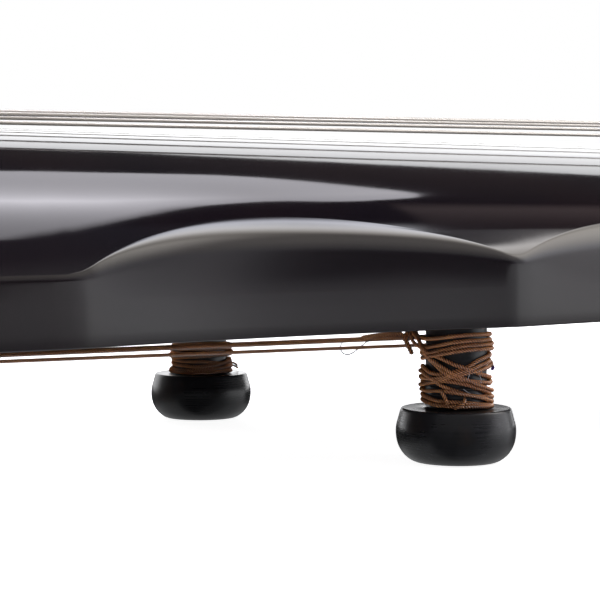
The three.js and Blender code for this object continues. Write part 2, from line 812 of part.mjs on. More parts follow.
function gooseFoot() {
  const body = footProfileShares.map(([r, z]) => new THREE.Vector2(r * footRadius, z * footHeight));
  const neck = [
    [footNeckRadius + footFillet, footHeight], [footNeckRadius, footHeight + footFillet],
    [footNeckRadius, plateUnderside], [footTenonRadius, plateUnderside],
    [footTenonRadius, plateUnderside + footTenonLength], [0, plateUnderside + footTenonLength],
  ].map(([r, z]) => new THREE.Vector2(r, z));
  const turned = new THREE.LatheGeometry([...body, ...neck], footSides);
  turned.rotateX(Math.PI / 2);
  return welded(turned);
}

// Tuning peg, standing on its own origin: a fluted grip, a waist and a collar, bored for its cord
function tuningPeg() {
  const sides = 2 * pegFlutes;
  const rings = pegProfileShares.map(([heightShare, radiusShare, fluteShare]) => {
    return Array.from({ length: sides }, (_, i) => {
      const angle = 2 * Math.PI * i / sides;
      const radius = pegRadius * (radiusShare - (i % 2) * fluteShare);
      return new THREE.Vector3(radius * Math.cos(angle), radius * Math.sin(angle), pegLength * heightShare);
    });
  });
  return cut(loft(rings), [
    rod(0, 0, -overrun, pegLength + overrun, pegBoreRadius, smallHoleSides),
    rod(0, 0, -overrun, pegKnotPocketDepth, pegKnotPocketRadius, smallHoleSides),
  ]);
}

// Tube of varying radius along a list of points, with its section carried along without twist
function tube(path, sides) {
  const rings = [];
  const tangentAt = (i) => {
    const before = path[Math.max(0, i - 1)].point;
    const after = path[Math.min(path.length - 1, i + 1)].point;
    return after.clone().sub(before).normalize();
  };
  let tangent = tangentAt(0);
  const aside = Math.abs(tangent.z) < 0.9 ? new THREE.Vector3(0, 0, 1) : new THREE.Vector3(0, 1, 0);
  let normal = aside.cross(tangent).normalize();
  path.forEach(({ point, radius }, i) => {
    const next = tangentAt(i);
    normal.applyQuaternion(new THREE.Quaternion().setFromUnitVectors(tangent, next));
    normal.addScaledVector(next, -normal.dot(next)).normalize();
    tangent = next;
    const binormal = tangent.clone().cross(normal);
    rings.push(Array.from({ length: sides }, (_, j) => {
      const angle = 2 * Math.PI * j / sides;
      return point.clone()
        .addScaledVector(normal, radius * Math.cos(angle))
        .addScaledVector(binormal, radius * Math.sin(angle));
    }));
  });
  return loft(rings);
}

// Winding of one group of strings on a foot's neck. Each string drops over the turns above it, then
// lies against the neck in its own band. Side -1 is the near foot, which the strings reach on its
// near side and go round from there towards the head; side 1 mirrors it.
function windingPlan(side, numbers, turns) {
  let height = plateUnderside - stringLift;
  let arrival = height;
  return numbers.map((number, order) => {
    const diameter = stringDiameters[number - 1];
    const pitch = diameter + turnGap;
    const previous = order > 0 ? stringDiameters[numbers[order - 1] - 1] : 0;
    arrival -= order > 0 ? (diameter + previous) / 2 + strandPass : diameter / 2 + topTurnDrop;
    height -= order > 0 ? (diameter + previous) / 2 + turnGap : diameter / 2 + topTurnDrop;
    const inner = footNeckRadius + clearance + diameter / 2;
    const outer = inner + (order > 0 ? diameter / 2 + Math.max(...stringDiameters) / 2 + strandPass : 0);
    const landing = height;
    const loose = order > 0 ? turns - windingDropShare - windingLandShare : turns;
    height -= pitch * loose;
    return { number, side, diameter, pitch, inner, outer, landing, arrival, turns, dropped: order > 0 };
  });
}

function windingPoint(plan, turn) {
  const { side, inner, outer, landing, arrival, pitch, dropped } = plan;
  const landed = windingDropShare + windingLandShare;
  const radius = dropped ? mix(outer, inner, smooth((turn - windingDropShare) / windingLandShare)) : inner;
  const fall = dropped ? smooth(turn / windingDropShare) : 1;
  const settled = landing - pitch * (dropped ? Math.max(0, turn - landed) : turn);
  const z = mix(arrival, settled, fall);
  const angle = side * (plan.startAngle - 2 * Math.PI * turn);
  return new THREE.Vector3(footX + radius * Math.cos(angle), side * footY + radius * Math.sin(angle), z);
}

// Where a string from the tail touches the circle of its first turn, as an angle seen from above
function touchAngle(plan, from) {
  const dx = from.x - footX;
  const dy = plan.side * from.y - footY;
  const distance = Math.hypot(dx, dy);
  return Math.atan2(dy, dx) - Math.acos(plan.outer / distance);
}

function stringPath(plan) {
  const { number, diameter } = plan;
  const radius = diameter / 2;
  const [y, tailY] = [stringY(number), tailStringY(number)];
  const path = [];
  const add = (x, py, z, r = radius) => path.push({ point: new THREE.Vector3(x, py, z), radius: r });
  const crest = bridgeTopZ(y) + clearance + radius;
  const knotX = bridgeHeadFace - bridgeTopThickness / 2;
  const knotZ = bridgeTopZ(y) + clearance + flyKnotRadius;
  for (const [reach, size] of flyKnotShares) {
    add(knotX + flyKnotLength * reach, y, knotZ, flyKnotRadius * size);
  }
  add(knotX - flyKnotLength / 2, y, mix(knotZ, crest, flyKnotFallShare), radius);
  add(knotX - flyKnotLength, y, crest - radius, radius);
  const nutCentre = [tailFace + tailNutRound, tailNutTop(tailY) - tailNutRound];
  const nutReach = tailNutRound + clearance + radius;
  for (const [x, z] of arcPoints(...nutCentre, nutReach, Math.PI / 2, Math.PI, 4)) add(x, tailY, z);
  const restLow = plateUnderside - tailRestHeight;
  const restReach = tailRestRound + clearance + radius;
  const restCentre = [tailFace + tailRestRound, restLow + tailRestRound];
  for (const [x, z] of arcPoints(...restCentre, restReach, Math.PI, 1.5 * Math.PI, 4)) add(x, tailY, z);
  const leave = tailFace + tailRestLength;
  add(leave, tailY, restLow - clearance - radius);
  plan.startAngle = touchAngle(plan, path[path.length - 1].point);
  for (let i = 0; i <= plan.turns * turnSteps; i += 1) {
    path.push({ point: windingPoint(plan, i / turnSteps), radius });
  }
  return path;
}

// Least distance between the surfaces of turns of one winding that aren't next to each other on it
function leastSelfGap(plan) {
  const points = [];
  for (let i = 0; i <= plan.turns * turnSteps; i += 1) points.push(windingPoint(plan, i / turnSteps));
  let least = Infinity;
  for (let i = 0; i < points.length; i += 1) {
    for (let j = i + turnSteps / 2; j < points.length; j += 1) {
      least = Math.min(least, points[i].distanceTo(points[j]) - plan.diameter);
    }
  }
  return least;
}

// Peg cord: a knot in the peg's pocket, up through peg, board, head and strip, and over to the bridge
function pegCordPath(number) {
  const y = stringY(number);
  const path = [];
  const add = (x, z, r = pegCordRadius) => path.push({ point: new THREE.Vector3(x, y, z), radius: r });
  const knotBase = pegFloorClearance + pegKnotPocketDepth - clearance - 2 * pegCordKnotRadius;
  const hug = bridgeHeadFace + clearance + pegCordRadius;
  const stripTop = pegStripTopZ(y);
  const [back, up] = pegCordRiseShares;
  add(pegX, Math.max(clearance, knotBase), pegCordKnotRadius * pegCordKnotEndShare);
  for (const [depth, size] of pegCordKnotShares) {
    add(pegX, pegFloorClearance + pegKnotPocketDepth * depth, pegCordKnotRadius * size);
  }
  add(pegX, pegFloorClearance + pegKnotPocketDepth - clearance);
  add(pegX, pegTop);
  add(pegX, stripTop);
  add(mix(pegX, hug, pegCordLeaveShare), stripTop + 2 * pegCordRadius);
  add(mix(pegX, hug, back), mix(stripTop, bridgeTopZ(y), up));
  add(hug, bridgeTopZ(y) - pegCordRadius);
  add(hug - pegCordRadius / 2, bridgeTopZ(y) + pegCordRadius * pegCordLoopShare);
  return path;
}

function lacquer(color, roughness) {
  return new THREE.MeshStandardMaterial({ color, roughness, metalness: 0 });
}

const finishes = {
  lacquer: () => lacquer(0x17100f, 0.12),
  hardwood: () => lacquer(0x2a1713, 0.4),
  footWood: () => lacquer(0x141213, 0.35),
  shell: () => lacquer(0xe8e4d8, 0.2),
  string: () => lacquer(0xa0603a, 0.5),
  cord: () => lacquer(0x6b2f24, 0.8),
  bareWood: () => lacquer(0xa9855a, 0.7),
};

const guqin = new THREE.Group();

function place(name, geometry, finish, x = 0, y = 0, z = 0) {
  const mesh = new THREE.Mesh(geometry, finishes[finish]());
  mesh.name = name;
  mesh.position.set(x, y, z);
  guqin.add(mesh);
}

place('top_plate', topPlate(), 'lacquer');
place('bottom_plate', bottomPlate(), 'lacquer');
const roundSection = regularPolygon(heavenPillarSides, heavenPillarDiameter / 2, 0);
const squareSection = regularPolygon(4, earthPillarWidth / Math.SQRT2, Math.PI / 4);
place('heaven_pillar', pillar(roundSection, heavenPillarAlong), 'bareWood');
place('earth_pillar', pillar(squareSection, earthPillarAlong), 'bareWood');
place('dragon_pool_rim', holeRim(soundHoles[0]), 'hardwood');
place('phoenix_pond_rim', holeRim(soundHoles[1]), 'hardwood');
place('peg_board', pegBoard(), 'hardwood');
place('bridge', bridge(), 'hardwood');
place('peg_strip', pegStrip(), 'hardwood');
place('tail_nut', tailNut(), 'hardwood');
place('tail_nut_rest', tailNutRest(), 'hardwood');

for (const [label, side] of [['near', -1], ['far', 1]]) {
  place(`peg_guard_${label}`, pegGuard(side), 'hardwood');
  place(`tail_crown_upper_${label}`, upperTailCrown(side), 'hardwood');
  place(`tail_crown_lower_${label}`, lowerTailCrown(side), 'hardwood');
  place(`goose_foot_${label}`, gooseFoot(), 'footWood', footX, side * footY);
}

for (const number of huiNumbers) {
  place(`hui_${number}`, huiDisc(number, huiRadius(number), huiThickness, 0), 'shell');
}

for (const number of stringNumbers) {
  place(`tuning_peg_${number}`, tuningPeg(), 'hardwood', pegX, stringY(number), pegFloorClearance);
  place(`peg_cord_${number}`, tube(pegCordPath(number), pegCordSides), 'cord');
}

const windings = [...windingPlan(-1, nearStrings, nearTurns), ...windingPlan(1, farStrings, farTurns)];
let leastGap = Infinity;
for (const plan of windings) {
  place(`string_${plan.number}`, tube(stringPath(plan), stringSides), 'string');
  leastGap = Math.min(leastGap, leastSelfGap(plan));
}
console.log(`Least gap of a string's winding to itself: ${leastGap.toFixed(2)} mm`);

export default guqin;
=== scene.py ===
import math

import bmesh
import bpy
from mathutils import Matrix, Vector


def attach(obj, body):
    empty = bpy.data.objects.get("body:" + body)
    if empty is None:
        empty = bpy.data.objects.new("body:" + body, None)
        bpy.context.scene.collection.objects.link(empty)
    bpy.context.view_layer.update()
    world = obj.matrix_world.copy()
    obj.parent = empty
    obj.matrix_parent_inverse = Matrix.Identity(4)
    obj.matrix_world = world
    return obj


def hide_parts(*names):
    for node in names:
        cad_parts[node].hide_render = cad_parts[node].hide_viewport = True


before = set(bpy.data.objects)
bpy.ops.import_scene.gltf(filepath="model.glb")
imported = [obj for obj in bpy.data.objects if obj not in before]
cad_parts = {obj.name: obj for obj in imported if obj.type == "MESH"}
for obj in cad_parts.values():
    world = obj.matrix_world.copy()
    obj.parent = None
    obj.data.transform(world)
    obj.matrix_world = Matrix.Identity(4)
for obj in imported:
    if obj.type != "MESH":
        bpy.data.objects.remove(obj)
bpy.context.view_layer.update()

mm = 0.001
scene = bpy.context.scene

view = {
    "place": (-0.6047, -0.4421, 0.07026),
    "turn": -0.6274,
    "pitch": -0.05227,
    "lens": 109.25,
    "sensor": 36,
    "clip": (0.02, 50),
}


def setCamera():
    data = bpy.data.cameras.new("camera")
    data.lens, data.sensor_width = view["lens"], view["sensor"]
    data.clip_start, data.clip_end = view["clip"]
    camera = bpy.data.objects.new("camera", data)
    camera.location = view["place"]
    camera.rotation_euler = (math.pi / 2 + view["pitch"], 0, view["turn"])
    scene.collection.objects.link(camera)
    scene.camera = camera


setCamera()
print("camera set")


class Wiring:
    # Short ways to set maths, fades, colors and noise in a node tree
    def __init__(self, tree):
        self.tree, self.nodes, self.links = tree, tree.nodes, tree.links

    def put(self, value, socket):
        if isinstance(value, (int, float)):
            socket.default_value = value
        elif isinstance(value, tuple):
            socket.default_value = (*value, 1)
        else:
            self.links.new(value, socket)

    def maths(self, kind, *values):
        node = self.nodes.new("ShaderNodeMath")
        node.operation = kind
        for socket, value in zip(node.inputs, values):
            self.put(value, socket)
        return node.outputs[0]

    def times(self, first, *others):
        for value in others:
            first = self.maths("MULTIPLY", first, value)
        return first

    def total(self, start, *terms):
        for value, weight in terms:
            start = self.maths("MULTIPLY_ADD", value, weight, start)
        return start

    def fade(self, value, start, end, low=0, high=1, kind="SMOOTHSTEP"):
        node = self.nodes.new("ShaderNodeMapRange")
        node.interpolation_type = kind
        labels = ("Value", "From Min", "From Max", "To Min", "To Max")
        for label, number in zip(labels, (value, start, end, low, high)):
            self.put(number, node.inputs[label])
        return node.outputs["Result"]

    def band(self, value, start, full, fading, end):
        return self.times(self.fade(value, start, full), self.fade(value, fading, end, 1, 0))

    def ramp(self, value, stops):
        node = self.nodes.new("ShaderNodeValToRGB")
        self.links.new(value, node.inputs[0])
        elements = node.color_ramp.elements
        for element, (position, color) in zip(elements, (stops[0], stops[-1])):
            element.position, element.color = position, (*color, 1)
        for position, color in stops[1:-1]:
            elements.new(position).color = (*color, 1)
        return node.outputs["Color"]

    def axes(self, kind="Object"):
        place = self.nodes.new("ShaderNodeTexCoord")
        split = self.nodes.new("ShaderNodeSeparateXYZ")
        self.links.new(place.outputs[kind], split.inputs[0])
        return split.outputs

    def noise(self, vector, scale, detail=2, roughness=0.5, distortion=0):
        # Three scales draw the noise out along the axes
        if isinstance(scale, tuple):
            drawn = self.nodes.new("ShaderNodeVectorMath")
            drawn.operation = "MULTIPLY"
            self.links.new(vector, drawn.inputs[0])
            drawn.inputs[1].default_value = scale
            vector, scale = drawn.outputs[0], 1.0
        node = self.nodes.new("ShaderNodeTexNoise")
        labels = ("Vector", "Scale", "Detail", "Roughness", "Distortion")
        for label, value in zip(labels, (vector, scale, detail, roughness, distortion)):
            self.put(value, node.inputs[label])
        return node.outputs["Fac"]

    def mixShaders(self, share, first, second):
        node = self.nodes.new("ShaderNodeMixShader")
        for socket, value in zip(node.inputs, (share, first, second)):
            self.links.new(value, socket)
        return node.outputs[0]

    def show(self, shader, kind="ShaderNodeOutputMaterial"):
        self.links.new(shader, self.nodes.new(kind).inputs["Surface"])


studio = {
    "floorSize": 14,
    "floorLevel": -0.0003,
    "floorColor": (0.86, 0.86, 0.87),
    "floorGlow": 0.93,
    "backdrop": {"from": (-1.6, 2.70), "to": (2.6, -0.55), "top": 1.0,
                 "color": (0.98, 0.985, 1.0), "light": 2.5},
    "ceilingHeight": 1.0,
    "softboxLight": 2.85,
    "softboxColor": (0.95, 0.93, 1.0),
    "softboxCorners": [
        (138, 575), (345, 571), (410, 529), (464, 423), (511, 321), (489, 256), (390, 194),
        (303, 199), (217, 133), (130, -16), (88, -111), (51, -191), (25, -231),
        (-500, -231), (-700, 200), (-500, 575),
    ],
    # The softbox is brightest along a line, and fades to both sides of it and towards the head
    "core": {"y": 0.176, "bend": 0.4, "bendFrom": 0.125, "fade": (0.100, 0.130), "along": (0.06, 0.33),
             "light": (5.9, 0.7)},
    # The softbox's low corner fades out: a point on its edge, the way across the edge, and how deep
    "dimEdge": {"point": (0.217, 0.133), "across": (0.886, -0.467), "depth": (-0.035, 0.012),
                "below": (0.18, 0.07), "share": 0.9},
    "brown": {"corners": [(430, 216), (700, 216), (700, -140), (430, -140)], "color": (1.0, 0.8, 0.78),
              "along": (-0.14, 0.13), "light": (0.1, 0.34), "fade": (0.216, 0.10)},
    # Light from the player's side by height in degrees, then how it falls off to the left
    "roomLight": [
        (-90, 0.45), (-20, 0.5), (-11, 0.75), (-4, 1.15), (0, 1.5), (4, 1.5), (8, 1.15), (12, 0.9),
        (20, 0.85), (27, 1.0), (34, 1.25), (40, 1.25), (46, 0.8), (52, 0.3), (58, 0.12), (90, 0.1),
    ],
    "roomPeak": 3,
    "roomColor": [
        (-90, (0.98, 0.985, 1)), (-2, (0.97, 0.985, 1)), (8, (0.97, 0.96, 1)), (20, (0.95, 0.95, 1.0)),
        (30, (1, 0.96, 0.92)), (44, (1, 0.94, 0.86)), (52, (0.92, 0.93, 1.0)), (60, (0.8, 0.82, 1.0)),
    ],
    "leftFade": [(-75, 0.36), (-68, 0.4), (-64, 0.48), (-60, 0.55), (-57, 0.64), (-54, 0.82), (-50, 1.0)],
    # Everything below is in degrees round the part and above its level
    "leftShade": {"sides": (-52, -61), "low": (7, 12), "high": (18, 27), "skew": (-61, 1.1), "depth": 0.75},
    "back": {"sides": (-8, 5), "above": (-26, -12), "light": 0.04},
    "rightGlow": {"sides": (-47, -37, -14, 0), "heights": (6, 36), "light": 3.4, "top": (40, 47)},
    "key": {"sides": (-54, -43, -9, 2), "low": (42.5, 50), "high": (53, 57.5), "skew": (-24, 0.38),
            "light": 10, "gapSides": (-23, -17), "gapHeights": (46.8, 48.6, 51.5, 54),
            "eastSides": (-13, -3), "eastHeights": (50, 52)},
    "coolGlow": {"sides": (-16, -10, 6, 11), "heights": (30, 38, 48.6, 50.2), "light": 0.3},
}


def emptyMaterial(name):
    material = bpy.data.materials.new(name)
    material.use_nodes = True
    material.node_tree.nodes.clear()
    return material, Wiring(material.node_tree)


def flatPanel(name, corners, color, light):
    # A light that the camera doesn't see, with its wiring and its strength for what shades it
    material, wiring = emptyMaterial(name)
    glow = wiring.nodes.new("ShaderNodeEmission")
    wiring.put(color, glow.inputs["Color"])
    wiring.put(light, glow.inputs["Strength"])
    wiring.show(glow.outputs[0])
    mesh = bpy.data.meshes.new(name)
    mesh.from_pydata(corners, [], [list(range(len(corners)))])
    mesh.materials.append(material)
    panel = bpy.data.objects.new(name, mesh)
    scene.collection.objects.link(panel)
    panel.visible_camera = False
    panel.visible_shadow = False
    return wiring, glow.inputs["Strength"]


def softenCorners(corners, rounds):
    for _ in range(rounds):
        corners = [tuple(a[k] + (b[k] - a[k]) * share for k in (0, 1))
                   for a, b in zip(corners, corners[1:] + corners[:1]) for share in (0.2, 0.8)]
    return corners


def setSoftbox():
    corners = softenCorners(studio["softboxCorners"], 2)
    corners = [(x * mm, y * mm, studio["ceilingHeight"]) for x, y in corners]
    wiring, strength = flatPanel("softbox", corners, studio["softboxColor"], studio["softboxLight"])
    maths, times, fade = wiring.maths, wiring.times, wiring.fade
    x, y, _ = wiring.axes()
    core = studio["core"]
    bend = maths("MAXIMUM", maths("SUBTRACT", x, core["bendFrom"]), 0)
    off = maths("SUBTRACT", y, maths("MULTIPLY_ADD", bend, core["bend"], core["y"]))
    above, below = (maths("DIVIDE", maths("MAXIMUM", times(off, way), 0), reach)
                    for way, reach in zip((1, -1), core["fade"]))
    shine = maths("EXPONENT", times(maths("ADD", above, below), -1))
    shine = times(shine, fade(x, *core["along"], *core["light"]))
    edge = studio["dimEdge"]
    (pointX, pointY), (acrossX, acrossY) = edge["point"], edge["across"]
    outward = maths("MULTIPLY_ADD", maths("SUBTRACT", x, pointX), acrossX,
                    times(maths("SUBTRACT", y, pointY), acrossY))
    dim = times(fade(outward, *edge["depth"]), fade(y, *edge["below"]))
    kept = maths("MULTIPLY_ADD", dim, -edge["share"], 1)
    wiring.put(times(maths("ADD", shine, studio["softboxLight"]), kept), strength)


def setCeilingAndBackdrop():
    brown = studio["brown"]
    corners = [(x * mm, y * mm, studio["ceilingHeight"]) for x, y in brown["corners"]]
    wiring, strength = flatPanel("brownCeiling", corners, brown["color"], 1)
    y = wiring.axes()["Y"]
    light = wiring.fade(y, *brown["along"], *brown["light"])
    wiring.put(wiring.times(light, wiring.fade(y, *brown["fade"])), strength)
    backdrop = studio["backdrop"]
    (ax, ay), (bx, by), top = backdrop["from"], backdrop["to"], backdrop["top"]
    flatPanel("backdrop", [(ax, ay, 0), (bx, by, 0), (bx, by, top), (ax, ay, top)],
              backdrop["color"], backdrop["light"])


def setWorld():
    # The room as light by direction: every term below is a patch of it, brighter or darker
    world = bpy.data.worlds.new("studio")
    scene.world = world
    world.use_nodes = True
    world.node_tree.nodes.clear()
    wiring = Wiring(world.node_tree)
    maths, times, fade, band = wiring.maths, wiring.times, wiring.fade, wiring.band
    x, y, z = wiring.axes("Generated")
    side = maths("DEGREES", maths("ARCTAN2", y, x))
    height = maths("DEGREES", maths("ARCSINE", z))

    def byAngle(angle, stops):
        first, last = stops[0][0], stops[-1][0]
        share = fade(angle, first, last, kind="LINEAR")
        return wiring.ramp(share, [((degrees - first) / (last - first), color) for degrees, color in stops])

    def greys(stops, peak=1):
        return [(degrees, (value / peak,) * 3) for degrees, value in stops]

    def raised(turn, slope):
        return maths("MULTIPLY_ADD", maths("MINIMUM", maths("SUBTRACT", side, turn), 0), -slope, height)

    def without(share, depth=1):
        return maths("MULTIPLY_ADD", share, -depth, 1)

    back, shade, glow = studio["back"], studio["leftShade"], studio["rightGlow"]
    key, cool, peak = studio["key"], studio["coolGlow"], studio["roomPeak"]
    behind = times(fade(side, *back["sides"]), fade(height, *back["above"]))
    dark = times(fade(side, *shade["sides"]), fade(raised(*shade["skew"]), *shade["low"]),
                 fade(height, *shade["high"], 1, 0))
    light = times(byAngle(height, greys(studio["roomLight"], peak)), peak,
                  byAngle(side, greys(studio["leftFade"])),
                  without(behind, 1 - back["light"]), without(dark, shade["depth"]))
    extra = times(band(side, *glow["sides"]), fade(height, *glow["heights"], 0, glow["light"], "LINEAR"),
                  fade(height, *glow["top"], 1, 0))
    gap = times(fade(side, *key["gapSides"]), band(height, *key["gapHeights"]))
    cut = times(fade(side, *key["eastSides"]), fade(height, *key["eastHeights"], 1, 0))
    beam = times(band(side, *key["sides"]), fade(height, *key["low"]),
                 fade(raised(*key["skew"]), *key["high"], 1, 0), without(gap), without(cut), key["light"])
    haze = times(band(side, *cool["sides"]), band(height, *cool["heights"]))
    strength = wiring.total(light, (extra, 1), (beam, 1), (haze, cool["light"]))
    seen, room = (wiring.nodes.new("ShaderNodeBackground") for _ in range(2))
    wiring.put((1, 1, 1), seen.inputs["Color"])
    wiring.put(byAngle(height, studio["roomColor"]), room.inputs["Color"])
    wiring.put(strength, room.inputs["Strength"])
    toCamera = wiring.nodes.new("ShaderNodeLightPath").outputs["Is Camera Ray"]
    wiring.show(wiring.mixShaders(toCamera, room.outputs[0], seen.outputs[0]), "ShaderNodeOutputWorld")


def setFloor():
    # Reflections look past the floor into the room light, and the floor is clear from below
    bpy.ops.mesh.primitive_plane_add(size=studio["floorSize"], location=(0, 0, studio["floorLevel"]))
    floor = bpy.context.object
    floor.name = "floor"
    material, wiring = emptyMaterial("floor")
    kinds = ("BsdfDiffuse", "Emission", "AddShader", "BsdfTransparent", "LightPath", "NewGeometry")
    paper, glow, both, clear, paths, faces = (wiring.nodes.new("ShaderNode" + kind) for kind in kinds)
    wiring.put(studio["floorColor"], paper.inputs["Color"])
    wiring.put(studio["floorGlow"], glow.inputs["Strength"])
    wiring.links.new(paper.outputs[0], both.inputs[0])
    wiring.links.new(glow.outputs[0], both.inputs[1])
    above = wiring.mixShaders(paths.outputs["Is Camera Ray"], paper.outputs[0], both.outputs[0])
    wiring.show(wiring.mixShaders(faces.outputs["Backfacing"], above, clear.outputs[0]))
    floor.data.materials.append(material)
    floor.visible_glossy = False


bpy.ops.object.select_all(action="DESELECT")
setSoftbox()
setCeilingAndBackdrop()
setWorld()
setFloor()
scene.view_settings.view_transform = "Standard"
scene.view_settings.look = "None"
print("studio set")

# The body in millimetres, measured along it from the head's end
body = {
    "headEnd": 614,
    "length": 1224,
    "halfWidths": (92, 102, 73),
    "neckArc": (104, 151, 8),
    "waistArcs": ((753.947, 131, 0), (884.947, 131, 0.22)),
    "waistDepth": 4.2,
    "lean": (0.55, 2.35),
    "wallBow": 1.8,
    "cornerRadii": (14, 6),
    "headBow": (4, 50),
    "underside": 37.5,
    "joint": 48.5,
    "edgeHeights": (14, 18.1, 15.3, 14.9),
    "crown": 90.5,
    # How far the crown drops, where the drop begins and where it is complete
    "crownDrops": ((4, 375, 92), (9, 76.2, 0), (1.6, 1024, 1224)),
    "bridgeAlong": 92,
    "archFullness": 0.93,
    "endRound": (4, 2.5),
    "edgeRound": (0.9, 5.0, 0.75),
    "roundHandles": (0.72, 0.3),
    "cuspBlend": 3.5,
    "undersideRound": 0.6,
    "sideWall": 17,
    "topWall": 16,
    "hollow": (150, 1165),
    "footBlock": (26, 48, 24),
}
foot = {"along": 891.947, "across": 64.397, "neckRadius": 8.4}
tailNut = {"face": -610, "front": -594, "half": 26, "depth": 14, "along": 1208, "proud": 2.4}
soundHoles = {
    "dragonPool": (516.5, 200),
    "phoenixPond": (1011.75, 110),
    "width": 28,
    "rimWidth": 3,
    "rimThickness": 1.8,
    "humpRise": 5,
    "humpMargin": 14,
}
# Rows of points along the body lie close together at the corners and through the waist
stations = {
    "corner": 14,
    "cornerShares": (0, 0.012, 0.04, 0.09, 0.16, 0.25, 0.36, 0.5, 0.66, 0.83),
    "headEven": 30,
    "crownEven": 375,
    "steps": (4, 4, 3, 8, 10, 2.6, 1.7, 4),
    "rimSteps": (7, 12),
    "crownSteps": 64,
}


def mix(a, b, share):
    return a + (b - a) * share


def clamp(value):
    return min(1.0, max(0.0, value))


def smooth(value):
    value = clamp(value)
    return value * value * (3 - 2 * value)


def arcShare(along, start, length, deeper=0):
    share = (along - start) / length
    if not 0 < share < 1:
        return 0
    return (1 - (2 * share - 1) ** 2) * (1 + deeper * smooth((share - 0.2) / 0.6))


def envelope(along):
    head, shoulder, tail = body["halfWidths"]
    start, length, _ = body["neckArc"]
    if along > start + length:
        return mix(shoulder, tail, (along - start - length) / (body["length"] - start - length))
    return mix(head, shoulder, clamp((along - start) / length))


def waistShare(along):
    # The scallops' depth, averaged over a few millimetres so that the cusps between them are soft
    blend = body["cuspBlend"]
    total = 0
    for k in range(-2, 3):
        place = along + k * blend / 2
        total += sum(arcShare(place, *arc) for arc in body["waistArcs"])
    return total / 5


def cornerCut(fromEnd, radius):
    return radius - math.sqrt(max(0, radius ** 2 - (radius - fromEnd) ** 2)) if fromEnd < radius else 0


def halfWidth(along):
    start, length, depth = body["neckArc"]
    headRadius, tailRadius = body["cornerRadii"]
    return (envelope(along) - depth * arcShare(along, start, length) - body["waistDepth"] * waistShare(along)
            - cornerCut(along, headRadius) - cornerCut(body["length"] - along, tailRadius))


def crownZ(along):
    return body["crown"] - sum(depth * smooth((along - start) / (end - start))
                               for depth, start, end in body["crownDrops"])


def edgeZ(along):
    head, shoulder, waist, tail = body["edgeHeights"]
    start, length, _ = body["waistArcs"][0]
    end = start + 2 * length
    throughWaist = clamp((along - start) / (end - start))
    towardsTail = clamp((along - end) / (body["length"] - end))
    towardsHead = clamp((body["neckArc"][0] - along) / body["neckArc"][0])
    rise = mix(mix(mix(shoulder, waist, throughWaist), tail, towardsTail), head, towardsHead)
    return body["underside"] + rise


def surfaceZ(along, y):
    fullness = body["archFullness"]
    semiHeight = (crownZ(along) - edgeZ(along)) / (1 - math.sqrt(1 - fullness ** 2))
    across = min(1, fullness * abs(y) / envelope(along))
    return crownZ(along) - semiHeight * (1 - math.sqrt(1 - across ** 2))


def tailNutTop(y):
    along = tailNut["along"]
    return mix(crownZ(along), surfaceZ(along, y), 0.5) + tailNut["proud"]


def planX(along, y):
    bow, reach = body["headBow"]
    return body["headEnd"] - along - bow * (y / body["halfWidths"][0]) ** 2 * clamp(1 - along / reach)


def endDrop(along):
    headRound, tailRound = body["endRound"]
    return cornerCut(along, headRound) + cornerCut(body["length"] - along, tailRound)


def leanIn(along):
    base, waisted = body["lean"]
    return base + waisted * waistShare(along)


def wallY(along, z, corner):
    rise = clamp((z - body["underside"]) / (corner - body["underside"]))
    return halfWidth(along) - leanIn(along) * rise ** body["wallBow"]


def archSection(along):
    # Outer section from the near side's joint over the crown to the far side's
    nudge = 0.1
    wallSteps, roundSteps = stations["rimSteps"]
    top = halfWidth(along) - leanIn(along)
    corner = surfaceZ(along, top)
    straight, waisted, power = body["edgeRound"]
    reach = mix(straight, waisted, waistShare(along) ** power)
    slope = (surfaceZ(along, top - nudge) - surfaceZ(along, top - 2 * nudge)) / nudge
    landY = top - reach / math.hypot(1, slope)
    landZ = surfaceZ(along, landY)
    landSlope = (surfaceZ(along, landY - nudge) - landZ) / nudge
    leaveZ = corner - reach
    leaveY = wallY(along, leaveZ, corner)
    wallSlope = (leaveY - wallY(along, leaveZ - nudge, corner)) / nudge
    fromWall, fromCrown = body["roundHandles"]
    leave, land = Vector((leaveY, leaveZ)), Vector((landY, landZ))
    up = Vector((wallSlope, 1)).normalized() * fromWall * reach
    down = Vector((1, -landSlope)).normalized() * fromCrown * reach
    points = []
    for i in range(wallSteps):
        z = mix(body["joint"], leaveZ, i / wallSteps)
        points.append((wallY(along, z, corner), z))
    for i in range(roundSteps):
        t = i / roundSteps
        points.append(tuple(leave * (1 - t) ** 3 + (leave + up) * 3 * t * (1 - t) ** 2
                            + (land + down) * 3 * t * t * (1 - t) + land * t ** 3))
    count = stations["crownSteps"]
    across = [landY * math.sin(math.pi * (i / count - 0.5)) for i in range(count + 1)]
    section = [(-y, z) for y, z in points] + [(y, surfaceZ(along, y)) for y in across] + points[::-1]
    drop, lowest = endDrop(along), body["joint"] + 1
    return [(y, max(lowest, z - drop) if z > lowest else z) for y, z in section]


def hollowHalf(along):
    depth, reach, ease = body["footBlock"]
    block = depth * smooth((reach - abs(along - foot["along"])) / ease)
    return halfWidth(along) - body["sideWall"] - block


def hollowCeiling(along, y):
    hump = 0
    margin = soundHoles["humpMargin"]
    for middle, length in (soundHoles["dragonPool"], soundHoles["phoenixPond"]):
        lengthwise = smooth((length / 2 + margin - abs(along - middle)) / margin)
        across = smooth((soundHoles["width"] / 2 + 2 * margin - abs(y)) / margin)
        hump = max(hump, lengthwise * across)
    return surfaceZ(along, y) - body["topWall"] - soundHoles["humpRise"] * hump


